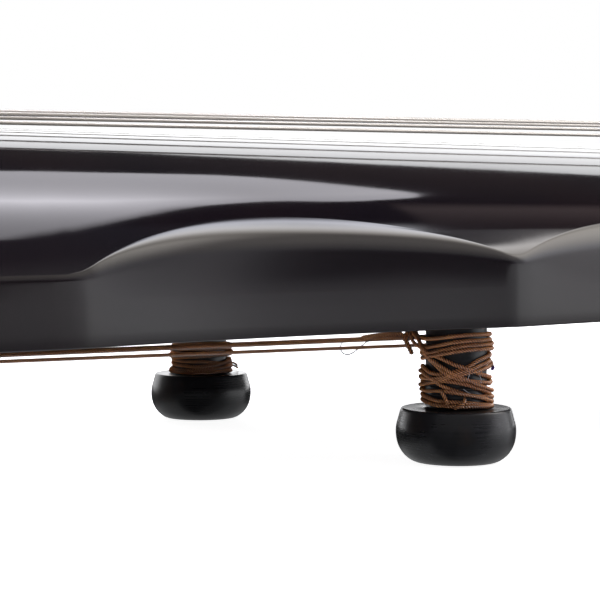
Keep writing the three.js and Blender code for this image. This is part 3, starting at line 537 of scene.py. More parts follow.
def innerSection(along, outer, hollow):
    # Inner section with as many points as the outer one: flat where the plate is solid
    if not hollow:
        return [(y, body["joint"]) for y, _ in outer]
    reach = hollowHalf(along)
    sideSteps, last = sum(stations["rimSteps"]), len(outer) - 1
    inner = []
    for j in range(len(outer)):
        fromSide = min(j, last - j)
        if fromSide < sideSteps:
            y = -reach if j < sideSteps else reach
            inner.append((y, mix(body["joint"], hollowCeiling(along, reach), fromSide / sideSteps)))
        else:
            y = mix(-reach, reach, (j - sideSteps) / (last - 2 * sideSteps))
            inner.append((y, hollowCeiling(along, y)))
    return inner


def spread(start, end, step):
    count = max(1, round((end - start) / step))
    return [mix(start, end, i / count) for i in range(count)]


def bodyStations():
    length, corner, shares = body["length"], stations["corner"], stations["cornerShares"]
    (first, arc, _), (second, _, _) = body["waistArcs"]
    neck, neckLength, _ = body["neckArc"]
    marks = (corner, stations["headEven"], neck, neck + neckLength, stations["crownEven"], first, first + arc,
             second + arc, length - corner)
    places = [corner * share for share in shares]
    for start, end, step in zip(marks, marks[1:], stations["steps"]):
        places += spread(start, end, step)
    return places + [length - corner] + [length - corner * share for share in shares[::-1]]


def deselectAll():
    bpy.ops.object.select_all(action="DESELECT")


def activate(piece):
    deselectAll()
    piece.select_set(True)
    bpy.context.view_layer.objects.active = piece


def wrapGrid(name, rows):
    # A grid whose vertices are carried onto the rows of points, as wide as the rows are long
    deselectAll()
    bpy.ops.mesh.primitive_grid_add(x_subdivisions=len(rows[0]) - 1, y_subdivisions=len(rows) - 1, size=1)
    piece = bpy.context.object
    piece.name = name
    piece.data.vertices.foreach_set("co", [value * mm for row in rows for point in row for value in point])
    piece.data.update()
    return piece


def editPiece(piece, *steps):
    activate(piece)
    bpy.ops.object.mode_set(mode="EDIT")
    bpy.ops.mesh.select_all(action="SELECT")
    for step in steps:
        step()
    bpy.ops.object.mode_set(mode="OBJECT")


def mergeDoubles():
    bpy.ops.mesh.remove_doubles(threshold=0.000002)


def facesOut():
    bpy.ops.mesh.normals_make_consistent(inside=False)


def dress(piece, material, angle=None):
    piece.data.materials.clear()
    piece.data.materials.append(material)
    if angle:
        smoothShade(piece, angle)


def smoothShade(piece, angle):
    activate(piece)
    bpy.ops.object.shade_smooth_by_angle(angle=math.radians(angle))


class Effect(Wiring):
    # A node group that turns coordinates and a few numbers into masks
    def __init__(self, name, numbers, masks):
        super().__init__(bpy.data.node_groups.new(name, "ShaderNodeTree"))
        self.socket("Vector", "INPUT", "NodeSocketVector")
        for label, value in numbers.items():
            self.socket(label, "INPUT").default_value = value
        for label in masks:
            self.socket(label, "OUTPUT")
        self.given = self.nodes.new("NodeGroupInput").outputs
        self.place = self.given["Vector"]
        self.masks = self.nodes.new("NodeGroupOutput").inputs

    def socket(self, label, side, kind="NodeSocketFloat"):
        return self.tree.interface.new_socket(label, in_out=side, socket_type=kind)

    def lines(self, scales, width):
        # Hairlines: drawn-out noise, cut to its narrow crests
        crest = self.maths("SUBTRACT", self.noise(self.place, scales, 1), 0.5)
        return self.fade(self.maths("ABSOLUTE", crest), 0.0, width, 1, 0)


def slowVariation():
    effect = Effect("slowVariation", {"Scale": 12.0}, ["Value"])
    value = effect.noise(effect.place, effect.given["Scale"], 3, 0.55, 0.3)
    effect.put(effect.fade(value, 0.3, 0.7), effect.masks["Value"])
    return effect.tree


def dustSpecks():
    effect = Effect("dust", {"Scale": 900.0, "Amount": 0.1}, ["Mask"])
    cells = effect.nodes.new("ShaderNodeTexVoronoi")
    effect.put(effect.place, cells.inputs["Vector"])
    effect.put(effect.given["Scale"], cells.inputs["Scale"])
    speck = effect.fade(cells.outputs["Distance"], 0.06, 0.16, 1, 0)
    clusters = effect.fade(effect.noise(effect.place, 55, 2), 0.5, 0.75)
    effect.put(effect.times(speck, clusters, effect.given["Amount"]), effect.masks["Mask"])
    return effect.tree


def scratches():
    effect = Effect("scratches", {"Amount": 0.3}, ["Mask"])
    lengthwise, crosswise = effect.lines((14, 700, 700), 0.012), effect.lines((420, 35, 420), 0.008)
    crossed = effect.maths("MAXIMUM", lengthwise, crosswise)
    where = effect.fade(effect.noise(effect.place, 30, 2), 0.48, 0.7)
    effect.put(effect.times(crossed, where, effect.given["Amount"]), effect.masks["Mask"])
    return effect.tree


def edgeWear():
    effect = Effect("edgeWear", {"Amount": 0.5}, ["Mask"])
    shape = effect.nodes.new("ShaderNodeNewGeometry")
    edges = effect.fade(shape.outputs["Pointiness"], 0.55, 0.63)
    broken = effect.fade(effect.noise(effect.place, 260, 4, 0.6), 0.42, 0.62)
    effect.put(effect.times(edges, broken, effect.given["Amount"]), effect.masks["Mask"])
    return effect.tree


def woodGrain():
    # Grain runs along X: streaks, broader bands and short pores
    effect = Effect("woodGrain", {"Fineness": 1.0}, ["Grain", "Bands", "Pores"])
    scaled = effect.nodes.new("ShaderNodeVectorMath")
    scaled.operation = "SCALE"
    effect.put(effect.place, scaled.inputs[0])
    effect.put(effect.given["Fineness"], scaled.inputs["Scale"])
    base = scaled.outputs[0]
    kinds = {
        "Grain": (((22, 520, 520), 4, 0.62, 0.35), (0.3, 0.7)),
        "Bands": (((5, 95, 95), 3, 0.5, 0.9), (0.32, 0.68)),
        "Pores": (((110, 1700, 1700), 1), (0.64, 0.74)),
    }
    for label, (noise, limits) in kinds.items():
        effect.put(effect.fade(effect.noise(base, *noise), *limits), effect.masks[label])
    return effect.tree


effects = {"slow": slowVariation(), "dust": dustSpecks(), "scratches": scratches(), "wear": edgeWear(),
           "grain": woodGrain()}
print("shared effects made")


class Finish(Wiring):
    # A material with its Principled shader, its coordinates and short ways to build it up
    def __init__(self, name, direction=None, **values):
        self.material = bpy.data.materials.new(name)
        self.material.use_nodes = True
        super().__init__(self.material.node_tree)
        self.shader = self.nodes["Principled BSDF"]
        for label, value in values.items():
            self.shader.inputs[label].default_value = value
        self.place = self.nodes.new("ShaderNodeTexCoord").outputs["Object"]
        if direction:
            turned = self.nodes.new("ShaderNodeMapping")
            turned.inputs["Rotation"].default_value = direction
            self.links.new(self.place, turned.inputs["Vector"])
            self.place = turned.outputs["Vector"]

    def add(self, kind, **numbers):
        # A shared effect's mask, or all its masks where it has more than one
        node = self.nodes.new("ShaderNodeGroup")
        node.node_tree = effects[kind]
        self.links.new(self.place, node.inputs["Vector"])
        for label, value in numbers.items():
            node.inputs[label].default_value = value
        return list(node.outputs) if len(node.outputs) > 1 else node.outputs[0]

    def blend(self, share, first, second):
        node = self.nodes.new("ShaderNodeMix")
        node.data_type = "RGBA"
        for label, value in (("Factor", share), ("A", first), ("B", second)):
            self.put(value, node.inputs[label])
        return node.outputs["Result"]

    def paint(self, color, *layers):
        # Every layer is a mask, how strongly it covers, and its color
        for mask, share, over in layers:
            color = self.blend(mask if share == 1 else self.times(mask, share), color, over)
        self.put(color, self.shader.inputs["Base Color"])

    def polish(self, roughness, *changes):
        self.put(self.total(roughness, *changes), self.shader.inputs["Roughness"])

    def bump(self, height, strength, distance, before=None):
        node = self.nodes.new("ShaderNodeBump")
        for label, value in (("Strength", strength), ("Distance", distance), ("Height", height)):
            self.put(value, node.inputs[label])
        if before:
            self.links.new(before, node.inputs["Normal"])
        self.links.new(node.outputs[0], self.shader.inputs["Normal"])
        return node.outputs[0]


def scaledColor(color, factor, lift=0):
    return tuple(min(1, factor * value + lift) for value in color)


lacquerLook = {
    "deep": (0.0062, 0.0055, 0.0085),
    "warm": (0.0115, 0.0066, 0.0085),
    "dusty": (0.16, 0.15, 0.145),
    "worn": (0.05, 0.022, 0.014),
    "shader": {"IOR": 1.5},
    "roughness": 0.05,
    "waves": 16,
    "peel": (150, 0.06),
}


def makeLacquer():
    look = lacquerLook
    finish = Finish("blackLacquer", **look["shader"])
    slow, dust = finish.add("slow", Scale=9.0), finish.add("dust", Scale=1100.0, Amount=0.16)
    hairlines, wear = finish.add("scratches", Amount=0.4), finish.add("wear", Amount=0.2)
    finish.paint(finish.blend(slow, look["deep"], look["warm"]), (wear, 1, look["worn"]),
                 (dust, 1, look["dusty"]))
    finish.polish(look["roughness"], (slow, 0.03), (hairlines, 0.12), (wear, 0.3), (dust, 0.4))
    peelScale, peelShare = look["peel"]
    wave, peel = finish.noise(finish.place, look["waves"], 1), finish.noise(finish.place, peelScale, 1)
    first = finish.bump(finish.total(wave, (peel, peelShare)), 0.35, 0.00025)
    finish.bump(hairlines, 0.05, 0.00004, first)
    return finish.material


bareWoodLook = {
    "dark": (0.40, 0.25, 0.125),
    "light": (0.53, 0.36, 0.2),
    "bands": (0.33, 0.19, 0.09),
    "pores": (0.16, 0.085, 0.04),
    "dusty": (0.6, 0.55, 0.48),
    "roughness": 0.62,
}


def makeBareWood():
    look = bareWoodLook
    finish = Finish("bareWood")
    grain, bands, pores = finish.add("grain", Fineness=0.8)
    slow, dust = finish.add("slow", Scale=14.0), finish.add("dust", Amount=0.3)
    finish.paint(finish.blend(grain, look["dark"], look["light"]), (bands, 0.4, look["bands"]),
                 (pores, 0.6, look["pores"]), (dust, 1, look["dusty"]))
    finish.polish(look["roughness"], (grain, 0.14), (slow, 0.08))
    finish.bump(finish.total(0.0, (grain, 0.5), (pores, -1.0)), 0.4, 0.0002)
    return finish.material


# Close-grained reddish black wood, oiled and rubbed
hardwoodLook = {
    "body": ((0.035, 0.013, 0.009), (0.085, 0.032, 0.019), 0.3),
    "peg": ((0.05, 0.02, 0.012), (0.12, 0.05, 0.028), 0.22),
    "bandShade": 0.45,
    "wornShine": 2.6,
    "pores": (0.008, 0.004, 0.003),
    "dusty": (0.4, 0.36, 0.33),
}


def makeHardwood(name, direction, kind):
    look = hardwoodLook
    dark, light, roughness = look[kind]
    finish = Finish(name, direction)
    grain, bands, pores = finish.add("grain", Fineness=2.2)
    slow, wear = finish.add("slow", Scale=30.0), finish.add("wear", Amount=0.22)
    dust = finish.add("dust", Amount=0.2)
    finish.paint(finish.blend(finish.times(grain, 0.7), dark, light),
                 (bands, 0.35, scaledColor(dark, look["bandShade"])), (pores, 0.7, look["pores"]),
                 (wear, 1, scaledColor(light, look["wornShine"])), (dust, 1, look["dusty"]))
    finish.polish(roughness, (grain, 0.1), (slow, 0.08), (wear, -0.06), (dust, 0.4))
    finish.bump(finish.total(0.0, (grain, 0.3), (pores, -1.0)), 0.3, 0.00012)
    return finish.material


# Black turned wood: rings left by the lathe, and brown patches that are rubbed wear and also a painted
# brownish sheen
footWoodLook = {
    "rings": ((0.013, 0.0135, 0.017), (0.017, 0.017, 0.021)),
    "ringScale": 1500,
    "waver": 0.00015,
    "rubbedAndSheen": (0.034, 0.021, 0.015),
    "pores": (0.005, 0.005, 0.006),
    "worn": (0.10, 0.075, 0.06),
    "dusty": (0.3, 0.28, 0.26),
    "roughness": 0.23,
}


def makeFootWood():
    look = footWoodLook
    finish = Finish("footWood", (0, math.pi / 2, 0))
    pores, slow = finish.add("grain", Fineness=1.2)[2], finish.add("slow", Scale=45.0)
    wear, dust = finish.add("wear", Amount=0.75), finish.add("dust", Amount=0.25)
    spin = finish.nodes.new("ShaderNodeTexNoise")
    spin.noise_dimensions = "1D"
    level = finish.total(finish.axes()["Z"], (slow, look["waver"]))
    for label, value in (("W", level), ("Scale", look["ringScale"]), ("Detail", 3)):
        finish.put(value, spin.inputs[label])
    rings = finish.fade(spin.outputs["Fac"], 0.35, 0.65)
    cuts = finish.maths("ABSOLUTE", finish.maths("SUBTRACT", spin.outputs["Fac"], 0.56))
    cuts = finish.fade(cuts, 0, 0.02, 1, 0)
    # Brown patches: rubbed wear, and also a painted brownish sheen
    rubbedAndSheen = finish.fade(finish.noise(finish.place, 90, 3, 0.6), 0.48, 0.72)
    finish.paint(finish.blend(rings, *look["rings"]), (rubbedAndSheen, 0.6, look["rubbedAndSheen"]),
                 (pores, 0.15, look["pores"]), (wear, 1, look["worn"]), (dust, 1, look["dusty"]))
    finish.polish(look["roughness"], (rings, 0.04), (slow, 0.08), (cuts, 0.04), (rubbedAndSheen, 0.05))
    first = finish.bump(finish.total(0.0, (rings, 0.3), (cuts, -1.0)), 0.08, 0.00003)
    finish.bump(pores, 0.03, 0.00003, first)
    return finish.material


# Shell inlay: layers that shift from cream to rose and green
shellLook = {
    "layers": [(0, (0.78, 0.62, 0.60)), (0.35, (0.84, 0.83, 0.77)), (0.65, (0.62, 0.79, 0.72)),
               (1, (0.86, 0.82, 0.88))],
    "sideways": (0.55, 0.7, 0.85),
    "worn": (0.45, 0.4, 0.34),
    "roughness": 0.14,
    "coat": {"Coat Weight": 0.3, "Coat Roughness": 0.08},
}


def makeShell():
    look = shellLook
    finish = Finish("shell", **look["coat"])
    slow, hairlines = finish.add("slow", Scale=240.0), finish.add("scratches", Amount=0.3)
    wear = finish.add("wear")
    layers = finish.noise(finish.place, (260, 700, 500), 3, 0.5, 1.4)
    facing = finish.nodes.new("ShaderNodeLayerWeight").outputs["Facing"]
    finish.paint(finish.ramp(finish.fade(layers, 0.3, 0.7), look["layers"]), (facing, 0.5, look["sideways"]),
                 (wear, 1, look["worn"]))
    finish.polish(look["roughness"], (slow, 0.1), (hairlines, 0.3))
    finish.bump(layers, 0.15, 0.0001)
    return finish.material


# Twisted silk and threads: painted shade between the plies and along the strands' edges, painted highlights
# on the ply tops, and on the silk above the body a pale colour that is a painted reflection of the white
# room, with a smoother finish there
cordLooks = {
    # Each groove colour is painted shade, laid between the plies and along the strands' edges
    "silk": {"paleReflection": (0.72, 0.67, 0.6), "strand": (1.0, 0.335, 0.1), "shadedGroove": (0.03, 0.007, 0.004),
             "roughness": 0.22, "polish": 1.0},
    "greyThread": {"strand": (0.1, 0.11, 0.14), "shadedGroove": (0.02, 0.02, 0.03), "roughness": 0.5},
    "whiteThread": {"strand": (0.75, 0.75, 0.78), "shadedGroove": (0.4, 0.4, 0.45), "roughness": 0.5},
    "purpleThread": {"strand": (0.16, 0.04, 0.38), "shadedGroove": (0.02, 0.006, 0.06), "roughness": 0.4},
    "cordThread": {"strand": (0.23, 0.035, 0.03), "shadedGroove": (0.05, 0.008, 0.008), "roughness": 0.55},
}
# Above these heights the silk is pale: a painted reflection of the white room
paleReflectionHeights = (0.066, 0.086)
cordDust = (0.6, 0.5, 0.42)


def makeCord(name):
    look = cordLooks[name]
    strand, shadedGroove, paleReflection, polish = look["strand"], look["shadedGroove"], look.get("paleReflection"), look.get("polish", 0.0)
    finish = Finish(name, **{"IOR": 1.5 + 0.3 * polish, "Coat Weight": polish, "Coat Roughness": 0.1})
    slow, dust = finish.add("slow", Scale=130.0), finish.add("dust", Scale=700.0, Amount=0.35)
    grooves = finish.nodes.new("ShaderNodeAttribute")
    grooves.attribute_name = "shadedGroove"
    # Painted shade: a darker colour in the grooves between the plies
    deep = finish.fade(grooves.outputs["Fac"], 0.12, 0.8)
    # Painted highlight: a lighter colour on the ply tops
    crest = finish.fade(grooves.outputs["Fac"], 0.0, 0.25, 1, 0)
    # Painted reflection: the silk above the body is pale
    upper = finish.fade(finish.axes()["Z"], *paleReflectionHeights)
    fibres = finish.noise(finish.place, (900, 900, 900), 2)
    # Painted shade: the strands darken towards their edges, where they turn away from the view
    facing = finish.nodes.new("ShaderNodeLayerWeight")
    facing.inputs["Blend"].default_value = 0.35
    rim = finish.fade(facing.outputs["Facing"], 0.14, 0.6)
    layers = [(fibres, 0.5, strand), (crest, 0.5, scaledColor(strand, 1.35, 0.1)), (rim, 0.9, shadedGroove),
              (deep, 0.92, shadedGroove)]
    if paleReflection:
        layers.append((upper, 1, paleReflection))
    base = finish.blend(slow, scaledColor(strand, 0.72), scaledColor(strand, 1.25))
    finish.paint(base, *layers, (dust, 1, cordDust))
    finish.polish(look["roughness"], (deep, 0.25), (fibres, 0.1), (upper, -0.16 if paleReflection else 0.0))
    bare = finish.maths("SUBTRACT", 1.0, upper)
    finish.bump(finish.total(0.0, (finish.times(fibres, bare), 0.5), (deep, -0.6)), 0.3, 0.00006)
    return finish.material


quarter = math.pi / 2
lacquer, bareWood, footWood, shell = makeLacquer(), makeBareWood(), makeFootWood(), makeShell()
hardwood = makeHardwood("hardwoodAlong", None, "body")
hardwoodAcross = makeHardwood("hardwoodAcross", (0, 0, quarter), "body")
pegWood = makeHardwood("pegWood", (0, quarter, 0), "peg")
silk, greyThread, whiteThread, purpleThread, cordThread = (makeCord(name) for name in cordLooks)
print("materials made")

nodeMaterials = {
    "hui": shell, "peg_cord": cordThread, "string": silk, "goose": footWood, "heaven": bareWood,
    "earth": bareWood, "tuning": pegWood, "bridge": hardwoodAcross, "peg_strip": hardwoodAcross,
    "peg_board": hardwoodAcross, "tail_nut": hardwoodAcross,
}
for name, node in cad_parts.items():
    if name not in ("top_plate", "bottom_plate"):
        dress(node, next((look for start, look in nodeMaterials.items() if name.startswith(start)), hardwood))


pegPool = {"x": 537.8, "long": 27, "half": 70, "corner": 4}


def slotBlock(x, length, half, low, high, corner=None):
    # A round-ended block, or one with small round corners, drawn as a circle and pulled apart
    deselectAll()
    radius = corner or half
    bpy.ops.mesh.primitive_circle_add(vertices=64, radius=radius * mm, fill_type="NGON", location=(0, 0, 0))
    block = bpy.context.object
    for vertex in block.data.vertices:
        way = math.copysign(1, vertex.co.x if abs(vertex.co.x) > 1e-6 else 1)
        vertex.co.x += way * (length / 2 - radius) * mm + x * mm
        vertex.co.y += math.copysign(half - radius, vertex.co.y) * mm if corner else 0
        vertex.co.z = low * mm

    def raiseIt():
        bpy.ops.mesh.extrude_region_move(TRANSFORM_OT_translate={"value": (0, 0, (high - low) * mm)})
        bpy.ops.mesh.select_all(action="SELECT")

    editPiece(block, raiseIt, facesOut)
    return block


def boxBlock(low, high):
    deselectAll()
    middle = [(a + b) / 2 * mm for a, b in zip(low, high)]
    bpy.ops.mesh.primitive_cube_add(size=1, location=middle)
    block = bpy.context.object
    block.scale = [(b - a) * mm for a, b in zip(low, high)]
    bpy.ops.object.transform_apply(location=True, rotation=True, scale=True)
    return block


def cutOut(piece, block):
    activate(piece)
    change = piece.modifiers.new("opening", "BOOLEAN")
    change.operation = "DIFFERENCE"
    change.solver = "EXACT"
    change.object = block
    bpy.ops.object.modifier_apply(modifier=change.name)
    bpy.data.objects.remove(block)



plates = {"play": 0.15, "openAbove": 30, "lining": 8, "overrun": 2, "recess": 0.2, "recessPlay": 0.3}


def makeTopPlate():
    start, end = body["hollow"]
    rows = []
    for along in sorted(set(bodyStations() + [start, end])):
        outer = archSection(along)
        # The plate is solid past both ends of the hollow, so each end has a row of either kind
        kinds = [along == end, along == start] if along in (start, end) else [start < along < end]
        for hollow in kinds:
            ring = outer + innerSection(along, outer, hollow)[::-1]
            rows.append([(planX(along, y), y, z) for y, z in ring + ring[:1]])
    plate = wrapGrid("topPlate", rows)
    mesh = bmesh.new()
    mesh.from_mesh(plate.data)
    mesh.verts.ensure_lookup_table()
    width = len(rows[0])
    for row in (0, len(rows) - 1):
        first, last = row * width, row * width + width - 2
        for j in range((width - 1) // 2 - 1):
            mesh.faces.new([mesh.verts[i] for i in (first + j, first + j + 1, last - j - 1, last - j)])
    mesh.to_mesh(plate.data)
    mesh.free()
    editPiece(plate, mergeDoubles, facesOut)
    plate.data.materials.append(lacquer)
    plate.data.materials.append(bareWood)
    for face in plate.data.polygons:
        x, y, z = (value / mm for value in face.center)
        along = body["headEnd"] - x
        inside = start - 1 < along < end + 1 and abs(y) < hollowHalf(along) + 0.5
        face.material_index = 1 if inside and z < surfaceZ(along, y) - plates["lining"] else 0
    play, half = plates["play"], tailNut["half"] + plates["play"]
    seat = tailNutTop(0) - tailNut["depth"]
    cutOut(plate, boxBlock((tailNut["face"] - 5, -half, seat - play),
                           (tailNut["front"] + play, half, seat + plates["openAbove"])))
    smoothShade(plate, 40)
    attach(plate, "body")
    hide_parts("top_plate")


makeTopPlate()
print("top plate made")


def closeEnds():
    mergeDoubles()
    bpy.ops.mesh.select_all(action="DESELECT")
    bpy.ops.mesh.select_mode(type="EDGE")
    bpy.ops.mesh.select_non_manifold()
    bpy.ops.mesh.fill(use_beauty=False)
    bpy.ops.mesh.select_all(action="SELECT")


def makeBottomPlate():
    low, high, bend = body["underside"], body["joint"], body["undersideRound"]
    rows = []
    for along in bodyStations():
        corner = surfaceZ(along, halfWidth(along) - leanIn(along))
        side = [(wallY(along, z, corner), z) for z in (mix(high, low + bend, i / 4) for i in range(5))]
        wall = side[-1][0]
        side += [(wall - bend * (1 - math.cos(t)), low + bend * (1 - math.sin(t)))
                 for t in (i * math.pi / 8 for i in range(1, 5))]
        reach, outside = side[-1][0], side[0][0]
        under = [(mix(reach, -reach, i / 8), low) for i in range(1, 8)]
        upper = [(mix(-outside, outside, i / 8), high) for i in range(1, 8)]
        ring = side + under + [(-y, z) for y, z in side[::-1]] + upper
        rows.append([(planX(along, y), y, z) for y, z in ring + ring[:1]])
    plate = wrapGrid("bottomPlate", rows)
    editPiece(plate, closeEnds, facesOut)
    plate.data.materials.append(lacquer)
    rim, halfHole, over = soundHoles["rimWidth"], soundHoles["width"] / 2, plates["overrun"]
    recessTop, gap = low + soundHoles["rimThickness"] + plates["recess"], plates["recessPlay"]
    for middle, length in (soundHoles["dragonPool"], soundHoles["phoenixPond"]):
        x = body["headEnd"] - middle
        cutOut(plate, slotBlock(x, length, halfHole, low - over, high + over))
        cutOut(plate, slotBlock(x, length + 2 * rim + 2 * gap, halfHole + rim + gap, low - over, recessTop))
    cutOut(plate, slotBlock(pegPool["x"], pegPool["long"], pegPool["half"], low - over, high + over,
                            pegPool["corner"]))
    plate.data.materials.append(bareWood)
    start, end = body["hollow"]
    for face in plate.data.polygons:
        x, _, z = (value / mm for value in face.center)
        if face.normal.z > 0.9 and z > high - 0.2 and start < body["headEnd"] - x < end:
            face.material_index = 1
    smoothShade(plate, 30)
    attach(plate, "body")
    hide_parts("bottom_plate")


makeBottomPlate()
print("bottom plate made")

gooseFoot = {
    "steps": 96,
    "profile": [
        (0.0, 0.0), (10.4, 0.0), (11.5, 0.1), (12.3, 0.42), (13.15, 0.95), (14.1, 1.76), (14.8, 2.6),
        (15.33, 3.43), (15.75, 4.26), (16.05, 5.1), (16.26, 5.93), (16.39, 6.76), (16.47, 7.6),
        (16.5, 8.43), (16.46, 9.26), (16.35, 10.1), (16.14, 10.9), (15.9, 11.75), (15.68, 12.6),
        (15.46, 13.4), (15.3, 14.05), (15.16, 14.45), (14.98, 14.66), (14.7, 14.73), (14.3, 14.7),
        (11.5, 14.7), (9.2, 14.7), (8.75, 14.82), (8.5, 15.1), (8.4, 15.6), (8.4, 37.5),
        (5.0, 37.5), (5.0, 58.0), (4.4, 58.5), (0.0, 58.5),
    ],
}


def turnOnLathe(name, profile, centre, steps):
    # The profile is drawn as a line of edges beside the axis and spun round it
    deselectAll()
    bpy.ops.mesh.primitive_plane_add(size=2 * mm, location=(0, 0, 0))
    piece = bpy.context.object
    piece.name = name
    bpy.ops.object.mode_set(mode="EDIT")
    bpy.ops.mesh.select_mode(type="VERT")
    bpy.ops.mesh.merge(type="CENTER")
    at = profile[0]
    start = Vector((centre[0] + at[0], centre[1], at[1])) * mm
    bpy.ops.transform.translate(value=start)
    for r, z in profile[1:]:
        move = ((r - at[0]) * mm, 0, (z - at[1]) * mm)
        bpy.ops.mesh.extrude_vertices_move(TRANSFORM_OT_translate={"value": move})
        at = (r, z)
    bpy.ops.mesh.select_all(action="SELECT")
    bpy.ops.mesh.spin(steps=steps, angle=2 * math.pi, dupli=False,
                      center=(centre[0] * mm, centre[1] * mm, 0), axis=(0, 0, 1))
    bpy.ops.mesh.select_all(action="SELECT")
    bpy.ops.mesh.remove_doubles(threshold=0.000004)
    facesOut()
    bpy.ops.object.mode_set(mode="OBJECT")
    return piece


sides = {"near": -1, "far": 1}
for label, side in sides.items():
    centre = (body["headEnd"] - foot["along"], side * foot["across"])
    piece = turnOnLathe("gooseFoot." + label, gooseFoot["profile"], centre, gooseFoot["steps"])
    dress(piece, footWood, 40)
    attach(piece, "body")
    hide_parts("goose_foot_" + label)
print("feet made")

# The strings are smooth over the crown, bare twisted cord under the body, and wound round the feet
strings = {
    "diameters": (1.35, 1.25, 1.2, 1.15, 1.1, 1.05, 1.0),
    "bridgeSpacing": 19,
    "tailSpacing": 6.5,
    "lift": 0.3,
    # Where a string leaves the bridge: along the body, and above the bridge's crest
    "overBridge": ((519, 0.5), (517, 0), (500, -0.3)),
    "nutBend": 4,
    "restBend": 2.4,
    "restLevel": 33.9,
    "underTail": -598,
    "becomesBare": 80,
    "speakingShare": 0.92,
    "neckGap": 0.15,
    "pitch": 2.4,
    "ringStep": 0.28,
    "plies": 3,
    "plyDepth": 0.38,
    "bareSwell": 1.17,
    "pileHeight": 0.7,
    "turnStep": 5,
    "press": 0.98,
    "ownTurns": 14,
    "drape": (0.13, 7),
    # Each foot's side that the turns are counted from, in degrees
    "fronts": {-1: -130.86, 1: -122.8},
}
# Turns on the near foot's neck: degrees from the side that faces the player's left, and the height.
# Every list is one string, passing behind the neck first and then across its front from right to left.
nearTurns = {
    5: [(-147, 33.8), (-180, 34.4), (-270, 35.0), (-337, 35.2), (-370, 34.8), (-415, 34.0), (-450, 33.8),
        (-540, 33.6), (-638, 33.5), (-697, 33.6), (-727, 33.2), (-762, 32.1), (-810, 31.0), (-900, 30.4),
        (-1005, 29.2), (-1039, 28.2), (-1059, 26.6), (-1082, 25.4), (-1107, 24.6), (-1129, 24.9),
        (-1165, 26.2), (-1260, 19.6), (-1351, 15.95), (-1416, 16.7), (-1446, 17.1), (-1473, 17.4),
        (-1497, 18.0), (-1529, 18.4), (-1620, 18.3), (-1711, 18.6), (-1758, 20.5), (-1785, 21.9),
        (-1802, 22.5), (-1820, 22.8), (-1869, 22.0), (-1980, 22.2), (-2071, 23.2), (-2116, 24.5),
        (-2143, 26.2), (-2162, 27.3), (-2180, 28.5), (-2206, 30.0),
        (-2226, 31.2)],
    6: [(-147, 33.4), (-180, 33.1), (-277, 32.4), (-344, 32.3), (-380, 31.3), (-414, 30.1), (-450, 29.6),
        (-540, 30.9), (-637, 31.2), (-697, 31.1), (-730, 30.5), (-769, 29.3), (-810, 28.2), (-900, 28.2),
        (-1000, 27.6), (-1035, 26.8), (-1055, 26.0), (-1080, 24.9), (-1110, 23.6), (-1150, 23.2),
        (-1170, 23.4), (-1260, 18.0), (-1351, 15.45), (-1416, 15.9), (-1450, 16.0), (-1484, 16.4),
        (-1517, 16.9), (-1620, 17.3), (-1711, 17.9), (-1776, 18.8), (-1802, 20.2), (-1820, 21.3),
        (-1844, 23.4), (-1874, 24.8), (-1980, 23.6), (-2071, 21.6), (-2110, 22.2), (-2142, 22.9),
        (-2165, 23.9), (-2190, 26.4), (-2212, 29.2), (-2232, 31.2)],
    7: [(-147, 31.3), (-180, 29.9), (-275, 26.4), (-317, 25.6), (-350, 24.6), (-375, 23.6), (-405, 22.2),
        (-440, 21.2), (-540, 19.0), (-631, 16.6), (-676, 18.1), (-705, 19.2), (-740, 20.1), (-788, 19.7),
        (-900, 19.8), (-991, 19.6), (-1038, 21.4), (-1065, 23.4), (-1093, 25.7), (-1113, 27.6),
        (-1140, 30.0), (-1156, 31.4)],
}
farTurns = {
    4: [(40, 35.4), (90, 35.3), (180, 35.1), (270, 34.9), (360, 34.4), (450, 33.6), (540, 29), (630, 25.2),
        (720, 25.0), (810, 24.3), (900, 21.5), (985, 19.6), (1040, 19.2), (1080, 19.0), (1130, 18.2),
        (1175, 17.4), (1260, 17.0), (1345, 16.6), (1400, 16.2), (1440, 16.4), (1500, 16.9), (1540, 17.2)],
    3: [(40, 34.0), (90, 33.8), (180, 33.6), (270, 33.2), (360, 32.7), (450, 31.8), (540, 27), (630, 23.6),
        (720, 23.2), (810, 22.8), (900, 20.0), (985, 18.2), (1040, 17.8), (1080, 17.5), (1130, 18.4),
        (1175, 19.2), (1260, 18.4), (1300, 18.0)],
    2: [(40, 32.5), (90, 32.2), (180, 32.0), (270, 31.7), (360, 31.2), (450, 30.3), (540, 26), (630, 22.2),
        (720, 21.7), (810, 21.2), (900, 18.5), (985, 15.7), (1040, 15.6), (1080, 15.55), (1130, 15.6),
        (1175, 15.7), (1260, 15.8), (1300, 15.9)],
    1: [(40, 30.8), (90, 30.4), (180, 30.0), (270, 29.8), (360, 29.2), (450, 28.6), (540, 24), (630, 20.7),
        (720, 20.9), (810, 21.6), (900, 24.0), (990, 26.8), (1080, 27.3), (1170, 27.6), (1230, 27.4)],
}
